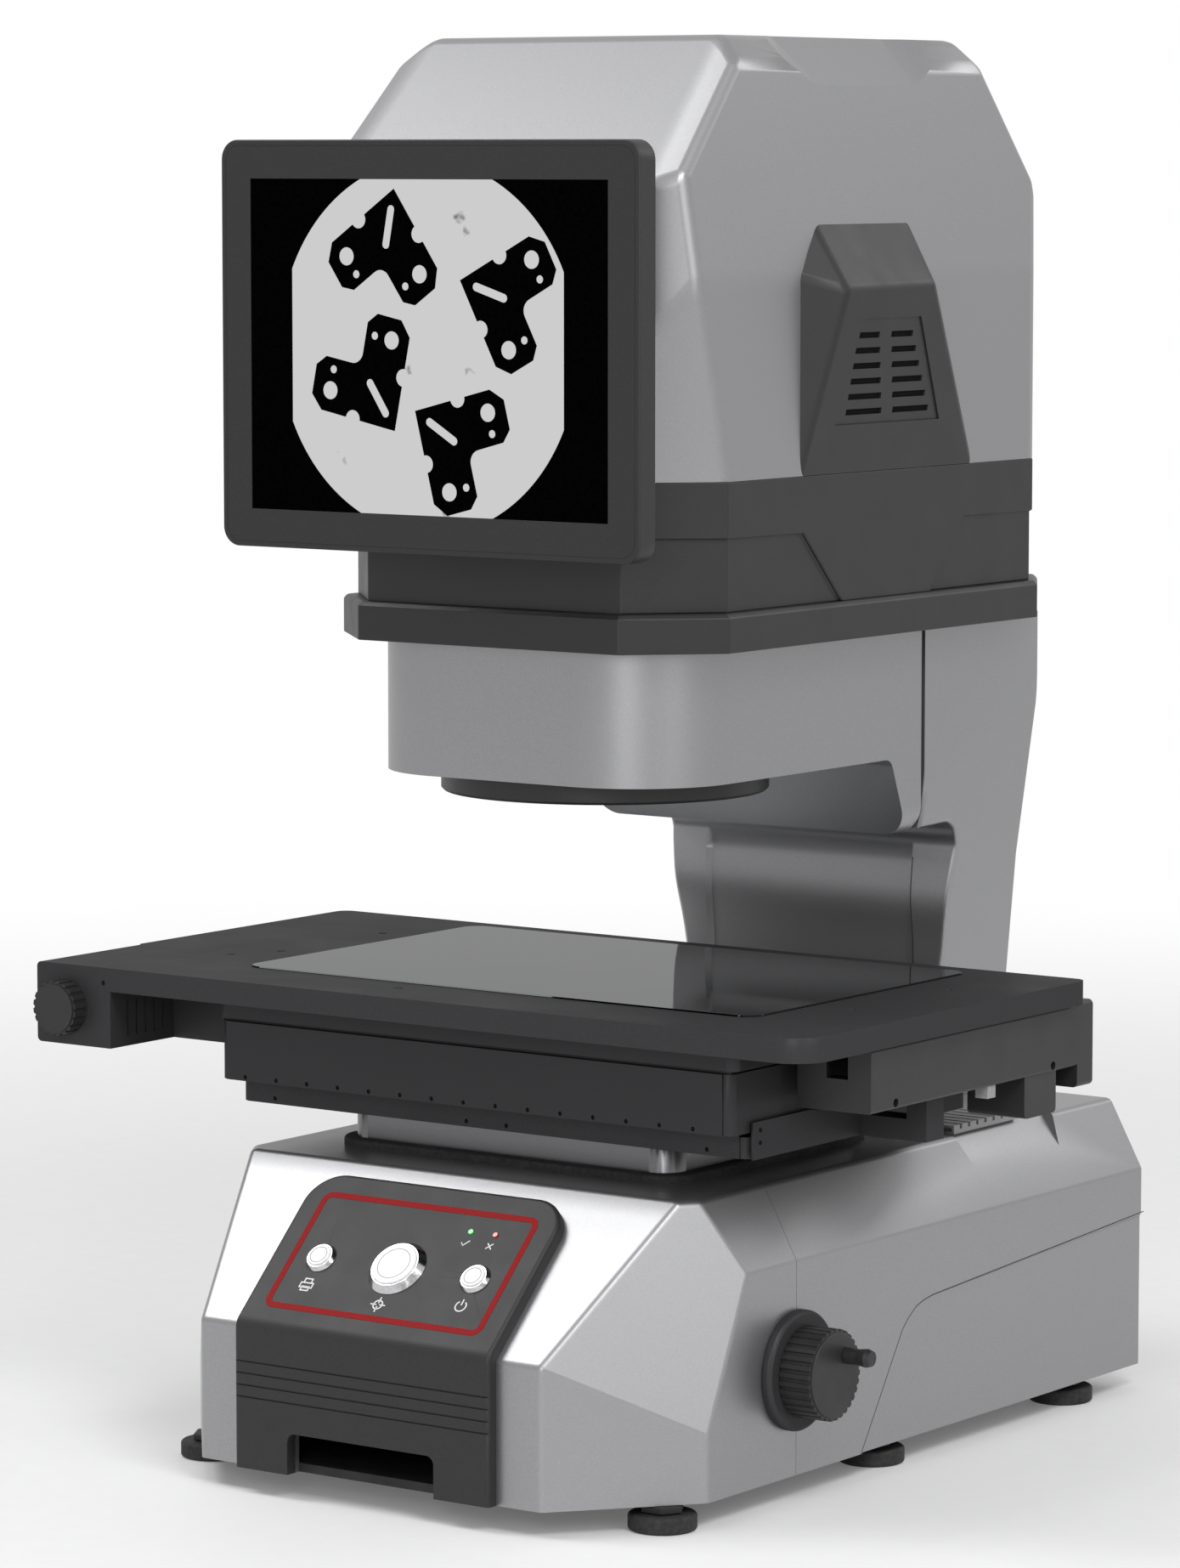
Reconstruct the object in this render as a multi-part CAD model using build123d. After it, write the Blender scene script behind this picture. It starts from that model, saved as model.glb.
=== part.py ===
from build123d import *
import os
from math import cos, hypot, pi, radians, sin, tan

os.makedirs("parts", exist_ok=True)

# Driving dimensions in millimetres. While it is drawn, X is across with 0 in the middle of the stand,
# Y runs from front to back with 0 on the optical axis, and Z is the height over the floor.

# Base
BASE_BOTTOM = 14.3
BASE_TOP = 175.9
BASE_HALF = 178.5
BASE_TOP_HALF = 156.0
BASE_FRONT = -224.7
BASE_REAR = 311.0
BASE_SLOPE_FOOT = 94.0
BASE_SLOPE_HEAD = -139.7
BASE_CREASE = 134.9
BASE_NOSE_HALF = 118.0
BASE_CORNER_Y = -152.5
BASE_CORNER_Z = 52.0
BASE_BROW_HALF = 150.0
BASE_SEAM = -67.0
BASE_FLOOR_FRONT = -100.0
BASE_WALL = 3.5
BASE_ROUND = 5.0
BASE_SCALLOP = (131.0, 138.0, 232.0, 240.0)
BASE_SCALLOP_DROP = 18.0
BASE_SCALLOP_BITE = 8.0
SCALLOP_LEAN = 6.8
STEP_DEPTH = 2.0
STEP_FOOT = 0.0
STEP_BEND = 58.0
STEP_LOW = 89.0
STEP_HIGH = 107.0
FLOOR_THICK = 5.0
SEAT_GAP = 0.3
PORT_HALF = 60.0
PORT_LOW = 40.0
PORT_HIGH = 110.0
PORT_THICK = 2.0
PORT_FIT = 0.2
PORT_SLOTS = (-10.0, 14.0, 38.0)
INLET_X = -38.0
INLET_Z = 75.0
INLET_HALF = 13.5
INLET_RISE = 9.5
INLET_DEPTH = 14.0

# Feet
FOOT_INSET = 21.0
FOOT_X = BASE_HALF - FOOT_INSET
FOOT_ROWS = (-166.0, 42.0, 250.0)
FOOT_RADIUS = 19.1
FOOT_STEM = 8.0
FOOT_DISC = 9.5

# Front trim and control panel
TRIM_HALF = 88.5
TRIM_PROUD = 7.3
TRIM_REACH = 104.0
TRIM_CORNER = 22.0
TRIM_EDGE = 2.6
TRIM_BEND = 10.0
TRIM_GROOVES = (75.1, 68.4, 61.7, 55.0)
GROOVE_SIZE = 1.0
GRIP_HALF = 51.0
GRIP_TOP = 37.8
GRIP_ROUND = 5.0
BORDER_LOW = 10.5
BORDER_HIGH = 90.5
BORDER_HALF = 75.0
BORDER_LINE = 2.6
BORDER_ROUND = 6.0
BORDER_THICK = 0.4
BUTTON_ROW = 45.5
BUTTON_SIDE = 53.7
LAMP_ROW = 75.7
LAMP_OK_X = 34.6
LAMP_NG_X = 51.5
LAMP_RADIUS = 1.5
LAMP_PROUD = 0.8
LAMP_SEAT = 0.1
CAP_SMALL = 6.3
CAP_LARGE = 12.0
BEZEL_SMALL = 8.9
BEZEL_LARGE = 16.4
BEZEL_FLARE = 1.8
BEZEL_SMALL_HEIGHT = 4.0
BEZEL_LARGE_HEIGHT = 6.0
CAP_GAP = 0.3
CAP_TRAVEL = 1.5
CAP_PROUD = 0.8
BUTTON_DEPTH = 12.0
BARREL_WALL = 1.2

# Handwheel
WHEEL_Y = -68.0
WHEEL_Z = 74.0
FLANGE_RADIUS = 33.8
FLANGE_THICK = 6.0
WHEEL_RADIUS = 25.7
WHEEL_WIDTH = 20.5
WHEEL_GAP = 0.4
WHEEL_FLUTES = 32
FLUTE_RADIUS = 1.25
SHAFT_RADIUS = 5.0
SHAFT_PLAY = 0.05
BEARING_WIDTH = 12.0
CRANK_OFFSET_Y = 10.5
CRANK_OFFSET_Z = 9.5
CRANK_RADIUS = 5.3
CRANK_LENGTH = 17.0
CRANK_PIN = 2.5
CRANK_END_WALL = 1.5
KNOB_FACE = 0.8
RACK_MODULE = 1.0
PINION_TEETH = 12
PINION_WIDTH = 14.0
PINION_X = 28.0
RACK_BACKLASH = 0.6
LIFT_DOWN = 5.0
LIFT_UP = 45.0

# Column
COLUMN_HALF = 112.4
COLUMN_FRONT = 165.0
COLUMN_REAR = 297.0
COLUMN_TAPER_Y = -0.079
COLUMN_TAPER_Z = 0.1426
COLUMN_SPAN = 100.0
COLUMN_WAIST = 412.0
COLUMN_CREASE_Y = 246.3
NECK_TOP = 350.0
NECK_FRONT = 214.5
NECK_BELLY = 211.0
NECK_BELLY_Z = 303.0
NECK_HOLLOW = 18.0
COLUMN_TAIL = 306.0
COLUMN_TAIL_Z = 236.0
COLUMN_TAIL_TOP = 322.0
COLUMN_ROUND = 4.0
COLUMN_WALL = 12.0
POST_HALF = 70.0
POST_FRONT = 226.0
POST_REAR = 292.0
PANEL_HALF = 73.0
PANEL_RECESS = 5.0
PANEL_THICK = 2.0
PANEL_BOTTOM = 190.0
PANEL_TOP = 326.0

# Lens housing
HOUSING_HALF = 111.6
HOUSING_FRONT = -100.8
HOUSING_BOTTOM = 393.6
HOUSING_CORNER = 62.7
HOUSING_REAR = 162.5
HOUSING_WALL = 4.0
BEAM_FRONT_HIGH = 130.0
BEAM_FRONT_LOW = 148.0
BEAM_BOTTOM = 347.0
BEAM_CORNER = 17.0
NOTCH_ROUND = 8.0
RING_RADIUS = 94.4
RING_BOTTOM = 381.4
RING_INNER = 72.0
RING_RIM = 4.0
DIFFUSER_THICK = 3.0
LENS_RADIUS = 66.0
BARREL_RADIUS = 70.0
BARREL_BOTTOM = 384.0
BARREL_STRAIGHT = 136.0
BARREL_SHOULDER = BARREL_BOTTOM + BARREL_STRAIGHT
BARREL_NECK = 24.0
BARREL_TAPER = 130.0
BARREL_TAPER_TOP = BARREL_SHOULDER + BARREL_TAPER
LENS_BULGE = 400.0
BARREL_COLLAR = 40.0
CAMERA_BOTTOM = BARREL_TAPER_TOP + BARREL_COLLAR
CAMERA_SIZE = 58.0
CAMERA_LENGTH = 60.0

# Head
LIP_BOTTOM = 470.0
LIP_HEIGHT = 22.0
LIP_TOP = LIP_BOTTOM + LIP_HEIGHT
LIP_HALF = 135.0
LIP_FRONT = -114.5
LIP_NOSE_HALF = 90.4
LIP_CORNER_Y = -70.9
LIP_REAR_CORNER_Y = 252.8
HEAD_TAIL_HALF = 106.0
HEAD_REAR = 300.0
LIP_PROUD = 4.0
LIP_CHAMFER = 2.5
LIP_FLOOR = 6.0
BELT_HEIGHT = 72.5
BELT_TOP = LIP_TOP + BELT_HEIGHT
HEAD_WALL_RISE = 110.0
HEAD_CREASE = BELT_TOP + HEAD_WALL_RISE
HEAD_LEAN_RISE = 120.0
HEAD_SHOULDER = HEAD_CREASE + HEAD_LEAN_RISE
HEAD_BEVEL_RISE = 15.5
HEAD_TOP = HEAD_SHOULDER + HEAD_BEVEL_RISE
HEAD_ROOF_HALF = 105.0
HEAD_SHOULDER_HALF = 118.0
HEAD_FRONT = -112.0
HEAD_SLOPE_TOP_Y = -33.0
HEAD_SLOPE_DROP = 81.0
HEAD_SLOPE_FOOT_Z = HEAD_TOP - HEAD_SLOPE_DROP
HEAD_REAR_SLOPE_Y = 204.0
HEAD_REAR_SLOPE_DROP = 70.6
HEAD_REAR_SLOPE_Z = HEAD_TOP - HEAD_REAR_SLOPE_DROP
HEAD_REAR_SLOPE_LOW_Y = 255.0
HEAD_WALL = 3.5
HEAD_ROUND = 4.0
HEAD_SCALLOP = (10.3, 38.6, 139.0, 162.7)
HEAD_SCALLOP_DROP = 11.7
HEAD_SCALLOP_BITE = 12.7
HEAD_BROW = ((103.2, -34.3, HEAD_TOP - 4.2), (103.3, -86.2, HEAD_TOP - 55.4), (122.6, -30.8, HEAD_TOP - 7.8))
HEAD_CHEEK = ((131.0, -66.0, BELT_TOP), (90.0, -110.5, BELT_TOP), (131.0, -105.0, BELT_TOP + 110.5))
HEAD_CORNER_Y = -104.0
HEAD_CORNER_HALF = 108.0
BELT_PANEL_DEPTH = 2.0
BELT_PANEL_TOP = BELT_TOP - 31.0
BELT_PANEL_FRONT = ((-120.0, BELT_PANEL_TOP), (8.3, BELT_PANEL_TOP - 1.1), (47.9, LIP_TOP), (-120.0, LIP_TOP))
BELT_PANEL_REAR = ((141.2, LIP_TOP), (177.3, BELT_PANEL_TOP + 0.4), (310.0, BELT_PANEL_TOP - 0.5),
                   (310.0, LIP_TOP))

# Vent covers
VENT_FRONT = 4.5
VENT_PROUD = 19.7
VENT_RISE = 105.5
VENT_RIDGE_Z = BELT_TOP + VENT_RISE
VENT_CROWN = 34.8
VENT_TOP = VENT_RIDGE_Z + VENT_CROWN
VENT_SHOULDER_RISE = 6.0
VENT_SHOULDER_Z = VENT_RIDGE_Z + VENT_SHOULDER_RISE
VENT_TOP_REAR = 115.0
VENT_LOW_REAR = 186.2
VENT_ROUND = 2.0
VENT_WALL = 2.5
SLOT_PITCH = 8.7
SLOT_ROWS = 6
SLOT_HEIGHT = 3.4
SLOT_DROP = 27.5
SLOT_TOP = VENT_RIDGE_Z - SLOT_DROP
SLOT_LEFT_TOP = (42.6, 64.8)
SLOT_LEFT_LOW = (42.6, 79.4)
SLOT_RIGHT_TOP = (77.0, 99.5)
SLOT_RIGHT_LOW = (90.9, 128.4)

# Display
DISPLAY_FACE = -169.1
DISPLAY_HALF = 143.8
DISPLAY_HEIGHT = 227.2
DISPLAY_RISE = 32.8
DISPLAY_BOTTOM = LIP_TOP + DISPLAY_RISE
DISPLAY_TOP = DISPLAY_BOTTOM + DISPLAY_HEIGHT
DISPLAY_THICK = 18.5
DISPLAY_ROUND = 11.0
SCREEN_HALF = 122.9
SCREEN_HEIGHT = 184.3
SCREEN_RISE = 113.5
SCREEN_CENTRE = DISPLAY_BOTTOM + SCREEN_RISE
SCREEN_DEEP = 6.0
VESA_HALF = 50.0
BRACKET_HALF = 40.0
BRACKET_ARM = 25.0
BRACKET_PLATE = 4.0

# Stage
STAGE_TOP = 275.8
PLATE_BOTTOM = 262.0
TABLE_LEFT = -235.4
TABLE_RIGHT = 248.3
TABLE_FRONT = -163.2
TABLE_REAR = 126.9
TABLE_CORNER = 21.0
TABLE_BACK_CORNER = 8.0
GLASS_HALF_X = 178.4
GLASS_HALF_Y = 111.4
GLASS_THICK = 5.0
GLASS_PROUD = 0.8
GLASS_CORNER = 12.0
GLASS_GAP = 0.3
APERTURE_HALF_X = 157.0
APERTURE_HALF_Y = 90.0
SUB_HALF = 181.0
SUB_FRONT = -132.0
SUB_REAR = 118.0
SUB_BOTTOM = 248.5
MIDDLE_HALF = 179.0
MIDDLE_TOP = 247.0
MIDDLE_BOTTOM = 213.0
MIDDLE_FLOOR = 225.0
MIDDLE_WALL_Y = 19.0
MIDDLE_WALL_X = 14.0
MIDDLE_ROUND = 6.0
LOWER_HALF = 178.0
LOWER_FRONT = -114.0
LOWER_TOP = 210.0
LOWER_BOTTOM = 198.0
WINDOW_HALF = 124.0
PEDESTAL_HALF_X = 114.0
PEDESTAL_HALF_Y = 96.5
PEDESTAL_BOTTOM = 112.0
PEDESTAL_WALL = 6.0
PEDESTAL_CORNER = 15.0
GASKET_WIDTH = 7.0
GASKET_HEIGHT = 5.0
GASKET_GAP = 0.5
RAIL_WIDTH = 10.0
RAIL_HEIGHT = 8.0
BLOCK_WIDTH = 18.0
BLOCK_LENGTH = 36.0
BLOCK_BACK = 3.5
BLOCK_CLEAR = 1.0
RAIL_GAP = 0.3
X_RAIL_ROWS = (-119.5, 105.5)
X_BLOCK_X = 50.0
X_CHANNEL_HALF = 173.0
Y_RAIL_X = 150.0
Y_BLOCK_Y = 40.0
Y_TRAVEL = 45.0
LOWER_REAR = 110.0
TABLE_GAP = 0.4
FRAME_OPEN_X = 165.0
FRAME_OPEN_FRONT = -108.0
FRAME_OPEN_REAR = 92.0
WINDOW_FRONT = -86.0
WINDOW_REAR = 92.0
SCREW_COUNT = 17
SCREW_PITCH = 20.0
SCREW_ROW = 4.5
SCREW_HEAD = 2.2
PLATE_HOLE = 2.5
PLATE_HOLES = ((-217.5, -74.0), (-202.0, -46.4), (-203.0, 52.7), (-50.8, -129.8), (204.4, 46.5),
               (204.4, -51.6))
GUIDE_X = 93.5
GUIDE_RADIUS = 8.0
GUIDE_HOLD = 24.0
BOSS_HALF = 12.0
BOSS_HEIGHT = 30.0
PEDESTAL_LID = 8.0
CONDENSER_RADIUS = 54.0
CONDENSER_BULGE = 246.0
LAMP_HOUSE_RADIUS = 30.0

# Drives of the stage
LEFT_BOX_LEFT = -291.0
LEFT_BOX_BOTTOM = 228.8
LEFT_BOX_REAR = -70.0
LEFT_HOLE_X = -240.6
LEFT_HOLE_Z = 266.8
LEFT_HOLE = 1.5
LOUVRES = 5
LOUVRE_PITCH = 8.0
LOUVRE_START = 15.0
LOUVRE_WIDTH = 2.0
LOUVRE_LAND = 6.0
ARM_FRONT = -105.9
ARM_REAR = -88.0
ARM_CLEAR = 1.5
ARM_WALL = 2.0
ARM_END = -197.0
BOX_WALL = 3.0
KNOB_X = -269.0
KNOB_Z = 250.8
KNOB_RADIUS = 16.0
KNOB_LENGTH = 11.0
KNOB_FLUTES = 20
KNOB_GAP = 0.4
SPINDLE_RADIUS = 3.0
PULLEY_RADIUS = 9.0
BELT_PLAY = 0.08
PULLEY_RIM = 0.8
EAR_GAP = 0.4
EAR_THICK = 3.0
EAR_HALF = 6.0
BELT_THICK = 1.5
BELT_WIDTH = 9.0
BELT_FRONT = -101.5
IDLER_X = 60.0
CLAMP_X = -80.0
CLAMP_WIDTH = 16.0
JAW_GAP = 0.3
X_MOTOR_REAR = -118.0
MOTOR_SIZE = 34.0
RIGHT_BOX_LEFT = 192.0
RIGHT_BOX_RIGHT = 240.0
RIGHT_BOX_FRONT = -87.0
RIGHT_BOX_REAR = 129.0
RIGHT_BOX_BOTTOM = 225.0
RIGHT_BOX_TOP = 256.3
END_PLATE_REAR = 146.0
END_PLATE_BOTTOM = 212.4
END_PLATE_TOP = 257.6
SCREW_X = 219.5
SCREW_Z = 234.0
SCREW_RADIUS = 5.0
NUT_HALF = 6.5
NUT_LENGTH = 18.0
Y_MOTOR_SIZE = 24.0
Y_MOTOR_FRONT = 68.0
RIGHT_KNOB_RADIUS = 14.5
RIGHT_KNOB_LENGTH = 10.0
BOX_WINDOW_LEFT = 211.0
BOX_WINDOW_RIGHT = 225.0
BOX_WINDOW_LOW = 243.0
BOX_WINDOW_HIGH = 253.3
BOX_HOLES = (-62.0, 102.7)
BOX_HOLE_Z = 228.5
BOX_HOLE = 2.5
SENSOR_X = (230.0, 238.0)
SENSOR_Y = (27.0, 44.0)
SENSOR_BOTTOM = 214.0
CABLE_BOX_X = (200.0, 238.0)
CABLE_BOX_Y = (75.0, 109.0)
CABLE_BOX_BOTTOM = 201.0
CHAIN_INSET = 46.5
CHAIN_X = BASE_HALF - CHAIN_INSET
CHAIN_HALF = 20.0
CHAIN_START = 137.0
CHAIN_LINKS = 8
CHAIN_PITCH = 9.0
CHAIN_HEIGHT = 5.0
CHAIN_WALL = 1.5
CHAIN_GAP = 2.5
CHAIN_FOOT_START = 106.0
CHAIN_FOOT_THICK = 2.5


def block(x0, x1, y0, y1, z0, z1):
    centre = Pos((x0 + x1) / 2, (y0 + y1) / 2, (z0 + z1) / 2)
    return centre * Box(x1 - x0, y1 - y0, z1 - z0)


def plan_prism(points, z0, z1):
    face = make_face(Polyline([(x, y, z0) for x, y in points], close=True))
    return extrude(face, amount=z1 - z0, dir=(0, 0, 1))


def side_prism(points, x0, x1):
    face = make_face(Polyline([(x0, y, z) for y, z in points], close=True))
    return extrude(face, amount=x1 - x0, dir=(1, 0, 0))


def front_prism(points, y0, y1):
    face = make_face(Polyline([(x, y0, z) for x, z in points], close=True))
    return extrude(face, amount=y1 - y0, dir=(0, 1, 0))


def rod(start, end, radius):
    line = Vector(*end) - Vector(*start)
    return extrude(Plane(origin=start, z_dir=line) * Circle(radius), amount=line.length)


def outward(inside, a, b, c):
    """The plane through three points, facing away from a point inside the body."""
    a, b, c = Vector(*a), Vector(*b), Vector(*c)
    normal = (b - a).cross(c - a)
    if normal.dot(Vector(*inside) - a) > 0:
        normal = normal * -1
    return Plane(origin=a, z_dir=normal)


def mirrored(points):
    return [(-x, y, z) for x, y, z in points]


def both_sides(inside, *points):
    return [outward(inside, *points), outward(inside, *mirrored(points))]


def cut_back(body, planes, inset=0.0):
    for plane in planes:
        body = split(body, bisect_by=plane.offset(-inset), keep=Keep.BOTTOM)
    return body


def rounded_plan(half_x, half_y, corner, z0, z1, centre_x=0.0, centre_y=0.0):
    face = Pos(centre_x, centre_y, z0) * RectangleRounded(2 * half_x, 2 * half_y, corner)
    return extrude(face, amount=z1 - z0)


def edges_above(body, level):
    return body.edges().filter_by(lambda edge: edge.center().Z > level)


def scallop(deep_low, deep_high, marks, shoulder, grow):
    """A wedge that carves a shallow scallop with slanted ends into an upper edge, on the right side.

    The cover's outside takes the plain wedge and its cavity one grown by the wall.
    """
    low_x, low_z = deep_low
    high_x, high_z = deep_high
    start, first, last, stop = marks
    lean = SCALLOP_LEAN
    middle = (first + last) / 2
    body = block(high_x - 5, low_x + 30, start - 15, stop + 15, low_z - 10, high_z + 15)
    inside = (low_x + 8, middle, high_z)
    deep = outward(inside, (low_x, 0, low_z), (high_x, 0, high_z), (low_x, 50, low_z))
    front_end = outward(inside, (low_x, first, low_z), (high_x, first - lean, high_z),
                        (shoulder[0], start, shoulder[1]))
    rear_end = outward(inside, (low_x, last, low_z), (high_x, last + lean, high_z),
                       (shoulder[0], stop, shoulder[1]))
    return cut_back(body, [deep, front_end, rear_end], -grow)


# Base

def base_planes():
    inside = (0, 40, 100)
    slope = outward(inside, (0, BASE_FRONT, BASE_SLOPE_FOOT), (0, BASE_SLOPE_HEAD, BASE_TOP),
                    (10, BASE_SLOPE_HEAD, BASE_TOP))
    shoulders = both_sides(inside, (BASE_HALF, 0, BASE_CREASE), (BASE_TOP_HALF, 0, BASE_TOP),
                           (BASE_HALF, 50, BASE_CREASE))
    cheeks = both_sides(inside, (BASE_NOSE_HALF, BASE_FRONT, BASE_SLOPE_FOOT),
                        (BASE_HALF, BASE_CORNER_Y, BASE_CORNER_Z),
                        (BASE_BROW_HALF, BASE_SLOPE_HEAD, BASE_TOP))
    corners = both_sides(inside, (BASE_NOSE_HALF, BASE_FRONT, 0), (BASE_HALF, BASE_CORNER_Y, 0),
                         (BASE_HALF, BASE_CORNER_Y, 50))
    return [slope, *shoulders, *cheeks, *corners]


def base_form(inset=0.0):
    body = block(-BASE_HALF + inset, BASE_HALF - inset, BASE_FRONT + inset, BASE_REAR - inset,
                 BASE_BOTTOM, BASE_TOP - inset)
    return cut_back(body, base_planes(), inset)


def base_scallop(grow=0.0):
    rise = BASE_TOP - BASE_CREASE
    lean = (BASE_HALF - BASE_TOP_HALF) / rise
    low_z = BASE_TOP - BASE_SCALLOP_DROP
    low_x = BASE_HALF - (low_z - BASE_CREASE) * lean
    high_x = BASE_TOP_HALF - BASE_SCALLOP_BITE
    return scallop((low_x, low_z), (high_x, BASE_TOP), BASE_SCALLOP, (BASE_TOP_HALF, BASE_TOP), grow)


def base_side_step(wall=0.0):
    outline = [(STEP_FOOT, BASE_BOTTOM - 1), (STEP_BEND - 8, STEP_LOW - 9), (STEP_BEND, STEP_LOW - 2),
               (STEP_BEND + 14, STEP_LOW + 3), (BASE_REAR + 1, STEP_HIGH), (BASE_REAR + 1, BASE_BOTTOM - 1)]
    return side_prism(outline, BASE_HALF - STEP_DEPTH - wall, BASE_HALF + 1)


def base_cover():
    body = base_form()
    body = fillet(edges_above(body, BASE_BOTTOM + 1), BASE_ROUND)
    for cutter in (base_scallop(), base_side_step()):
        body -= cutter
        body -= mirror(cutter, about=Plane.YZ)
    cavity = base_form(BASE_WALL)
    for cutter in (base_scallop(BASE_WALL), base_side_step(BASE_WALL)):
        cavity -= cutter
        cavity -= mirror(cutter, about=Plane.YZ)
    body -= cavity
    body -= block(-BASE_HALF + BASE_WALL, BASE_HALF - BASE_WALL, BASE_FLOOR_FRONT, BASE_REAR - BASE_WALL,
                  BASE_BOTTOM - 1, BASE_BOTTOM + 1)
    opening = PEDESTAL_HALF_X + GASKET_GAP
    body -= rounded_plan(opening, PEDESTAL_HALF_Y + GASKET_GAP, PEDESTAL_CORNER, BASE_TOP - 20, BASE_TOP + 1)
    body -= block(-POST_HALF - SEAT_GAP, POST_HALF + SEAT_GAP, POST_FRONT - SEAT_GAP,
                  POST_REAR + SEAT_GAP, BASE_TOP - 20, BASE_TOP + 1)
    body -= grip_cutter(BASE_FRONT - 5, BASE_FRONT + BASE_WALL + 1)
    body -= rod((BASE_HALF - 20, WHEEL_Y, WHEEL_Z), (BASE_HALF + 5, WHEEL_Y, WHEEL_Z), SHAFT_RADIUS + 2)
    for bore in button_bores():
        body -= bore
    return body


def base_front_cover(cover):
    return cover & block(-BASE_HALF, BASE_HALF, BASE_FRONT, BASE_SEAM - SEAT_GAP / 2, BASE_BOTTOM, BASE_TOP)


def base_rear_cover(cover):
    rear = cover & block(-BASE_HALF, BASE_HALF, BASE_SEAM + SEAT_GAP / 2, BASE_REAR, BASE_BOTTOM, BASE_TOP)
    return rear - block(-PORT_HALF, PORT_HALF, BASE_REAR - 2 * BASE_WALL, BASE_REAR + 1, PORT_LOW, PORT_HIGH)


def base_plate():
    body = base_form(BASE_WALL + SEAT_GAP)
    body = body & block(-BASE_HALF, BASE_HALF, BASE_FRONT, BASE_REAR, BASE_BOTTOM, BASE_BOTTOM + FLOOR_THICK)
    step = base_side_step(BASE_WALL + SEAT_GAP)
    return body - step - mirror(step, about=Plane.YZ)


def rubber_feet():
    feet = []
    for x in (-FOOT_X, FOOT_X):
        for y in FOOT_ROWS:
            disc = Pos(x, y, FOOT_DISC / 2) * Cylinder(FOOT_RADIUS, FOOT_DISC)
            disc = fillet(disc.edges(), 2.0)
            stem = rod((x, y, FOOT_DISC - 1), (x, y, BASE_BOTTOM), FOOT_STEM)
            feet.append(disc + stem)
    return feet


# Front trim and control panel

def panel_plane(lift=0.0):
    """The plane of the sloping panel: its X runs across, its Y runs up the slope, its Z points out."""
    rise = BASE_TOP - BASE_SLOPE_FOOT
    run = BASE_SLOPE_HEAD - BASE_FRONT
    length = hypot(rise, run)
    normal = Vector(0, -rise / length, run / length)
    origin = Vector(0, BASE_FRONT, BASE_SLOPE_FOOT) + normal * lift
    return Plane(origin=origin, x_dir=(1, 0, 0), z_dir=normal)


def grip_cutter(y0, y1):
    outline = [(-GRIP_HALF, BASE_BOTTOM - 5), (-GRIP_HALF, GRIP_TOP), (GRIP_HALF, GRIP_TOP),
               (GRIP_HALF, BASE_BOTTOM - 5)]
    body = front_prism(outline, y0, y1)
    upper = body.edges().filter_by(Axis.Y).filter_by(lambda edge: edge.center().Z > GRIP_TOP - 1)
    return fillet(upper, GRIP_ROUND)


def front_trim():
    slope = panel_plane()
    outer = panel_plane(TRIM_PROUD)
    face_y = BASE_FRONT - TRIM_PROUD
    up = slope.y_dir
    start = outer.origin + up * ((face_y - outer.origin.Y) / up.Y)
    top_out = outer.origin + up * TRIM_REACH
    top_in = slope.origin + up * TRIM_REACH
    outline = [(BASE_FRONT, BASE_BOTTOM), (face_y, BASE_BOTTOM), (face_y, start.Z),
               (top_out.Y, top_out.Z), (top_in.Y, top_in.Z), (BASE_FRONT, BASE_SLOPE_FOOT)]
    body = side_prism(outline, -TRIM_HALF, TRIM_HALF)
    corners = body.edges().filter_by(lambda edge: abs(edge.center().X) > TRIM_HALF - 1
                                     and edge.center().Z > top_in.Z - 2 and edge.length < TRIM_PROUD + 1)
    body = fillet(corners, TRIM_CORNER)
    bend = body.edges().filter_by(Axis.X).filter_by(
        lambda edge: abs(edge.center().Y - face_y) < 0.1 and edge.center().Z > BASE_SLOPE_FOOT - 5)
    body = fillet(bend, TRIM_BEND)
    rim = body.faces().filter_by(lambda face: face.normal_at().Z > 0.5
                                 and face.center().Y < BASE_SLOPE_HEAD - 15)
    body = fillet(rim.sort_by(SortBy.AREA)[-1].outer_wire().edges().filter_by(
        lambda edge: edge.center().Z > start.Z + TRIM_BEND), TRIM_EDGE)
    body -= grip_cutter(face_y - 5, BASE_FRONT + 1)
    for z in TRIM_GROOVES:
        groove = block(-TRIM_HALF - 1, TRIM_HALF + 1, face_y - 1, face_y + GROOVE_SIZE, z - GROOVE_SIZE / 2,
                       z + GROOVE_SIZE / 2)
        body -= groove
    for bore in button_bores():
        body -= bore
    for x in (LAMP_OK_X, LAMP_NG_X):
        body -= panel_rod(x, LAMP_ROW, -1, TRIM_PROUD + 1, LAMP_RADIUS + LAMP_SEAT)
    return body


def panel_rod(x, row, low, high, radius):
    plane = panel_plane(low)
    return extrude(plane * Pos(x, row) * Circle(radius), amount=high - low)


def buttons():
    return (("print", -BUTTON_SIDE, CAP_SMALL, BEZEL_SMALL, BEZEL_SMALL_HEIGHT),
            ("measure", 0.0, CAP_LARGE, BEZEL_LARGE, BEZEL_LARGE_HEIGHT),
            ("power", BUTTON_SIDE, CAP_SMALL, BEZEL_SMALL, BEZEL_SMALL_HEIGHT))


def button_bores():
    return [panel_rod(x, BUTTON_ROW, -BUTTON_DEPTH - 5, TRIM_PROUD + 1, cap + BARREL_WALL)
            for _, x, cap, bezel, height in buttons()]


def control_border():
    plane = panel_plane(TRIM_PROUD)
    middle = (BORDER_LOW + BORDER_HIGH) / 2
    height = BORDER_HIGH - BORDER_LOW
    outer = RectangleRounded(2 * BORDER_HALF, height, BORDER_ROUND)
    inner = RectangleRounded(2 * (BORDER_HALF - BORDER_LINE), height - 2 * BORDER_LINE,
                             BORDER_ROUND - BORDER_LINE)
    return extrude(plane * Pos(0, middle) * (outer - inner), amount=BORDER_THICK)


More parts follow.
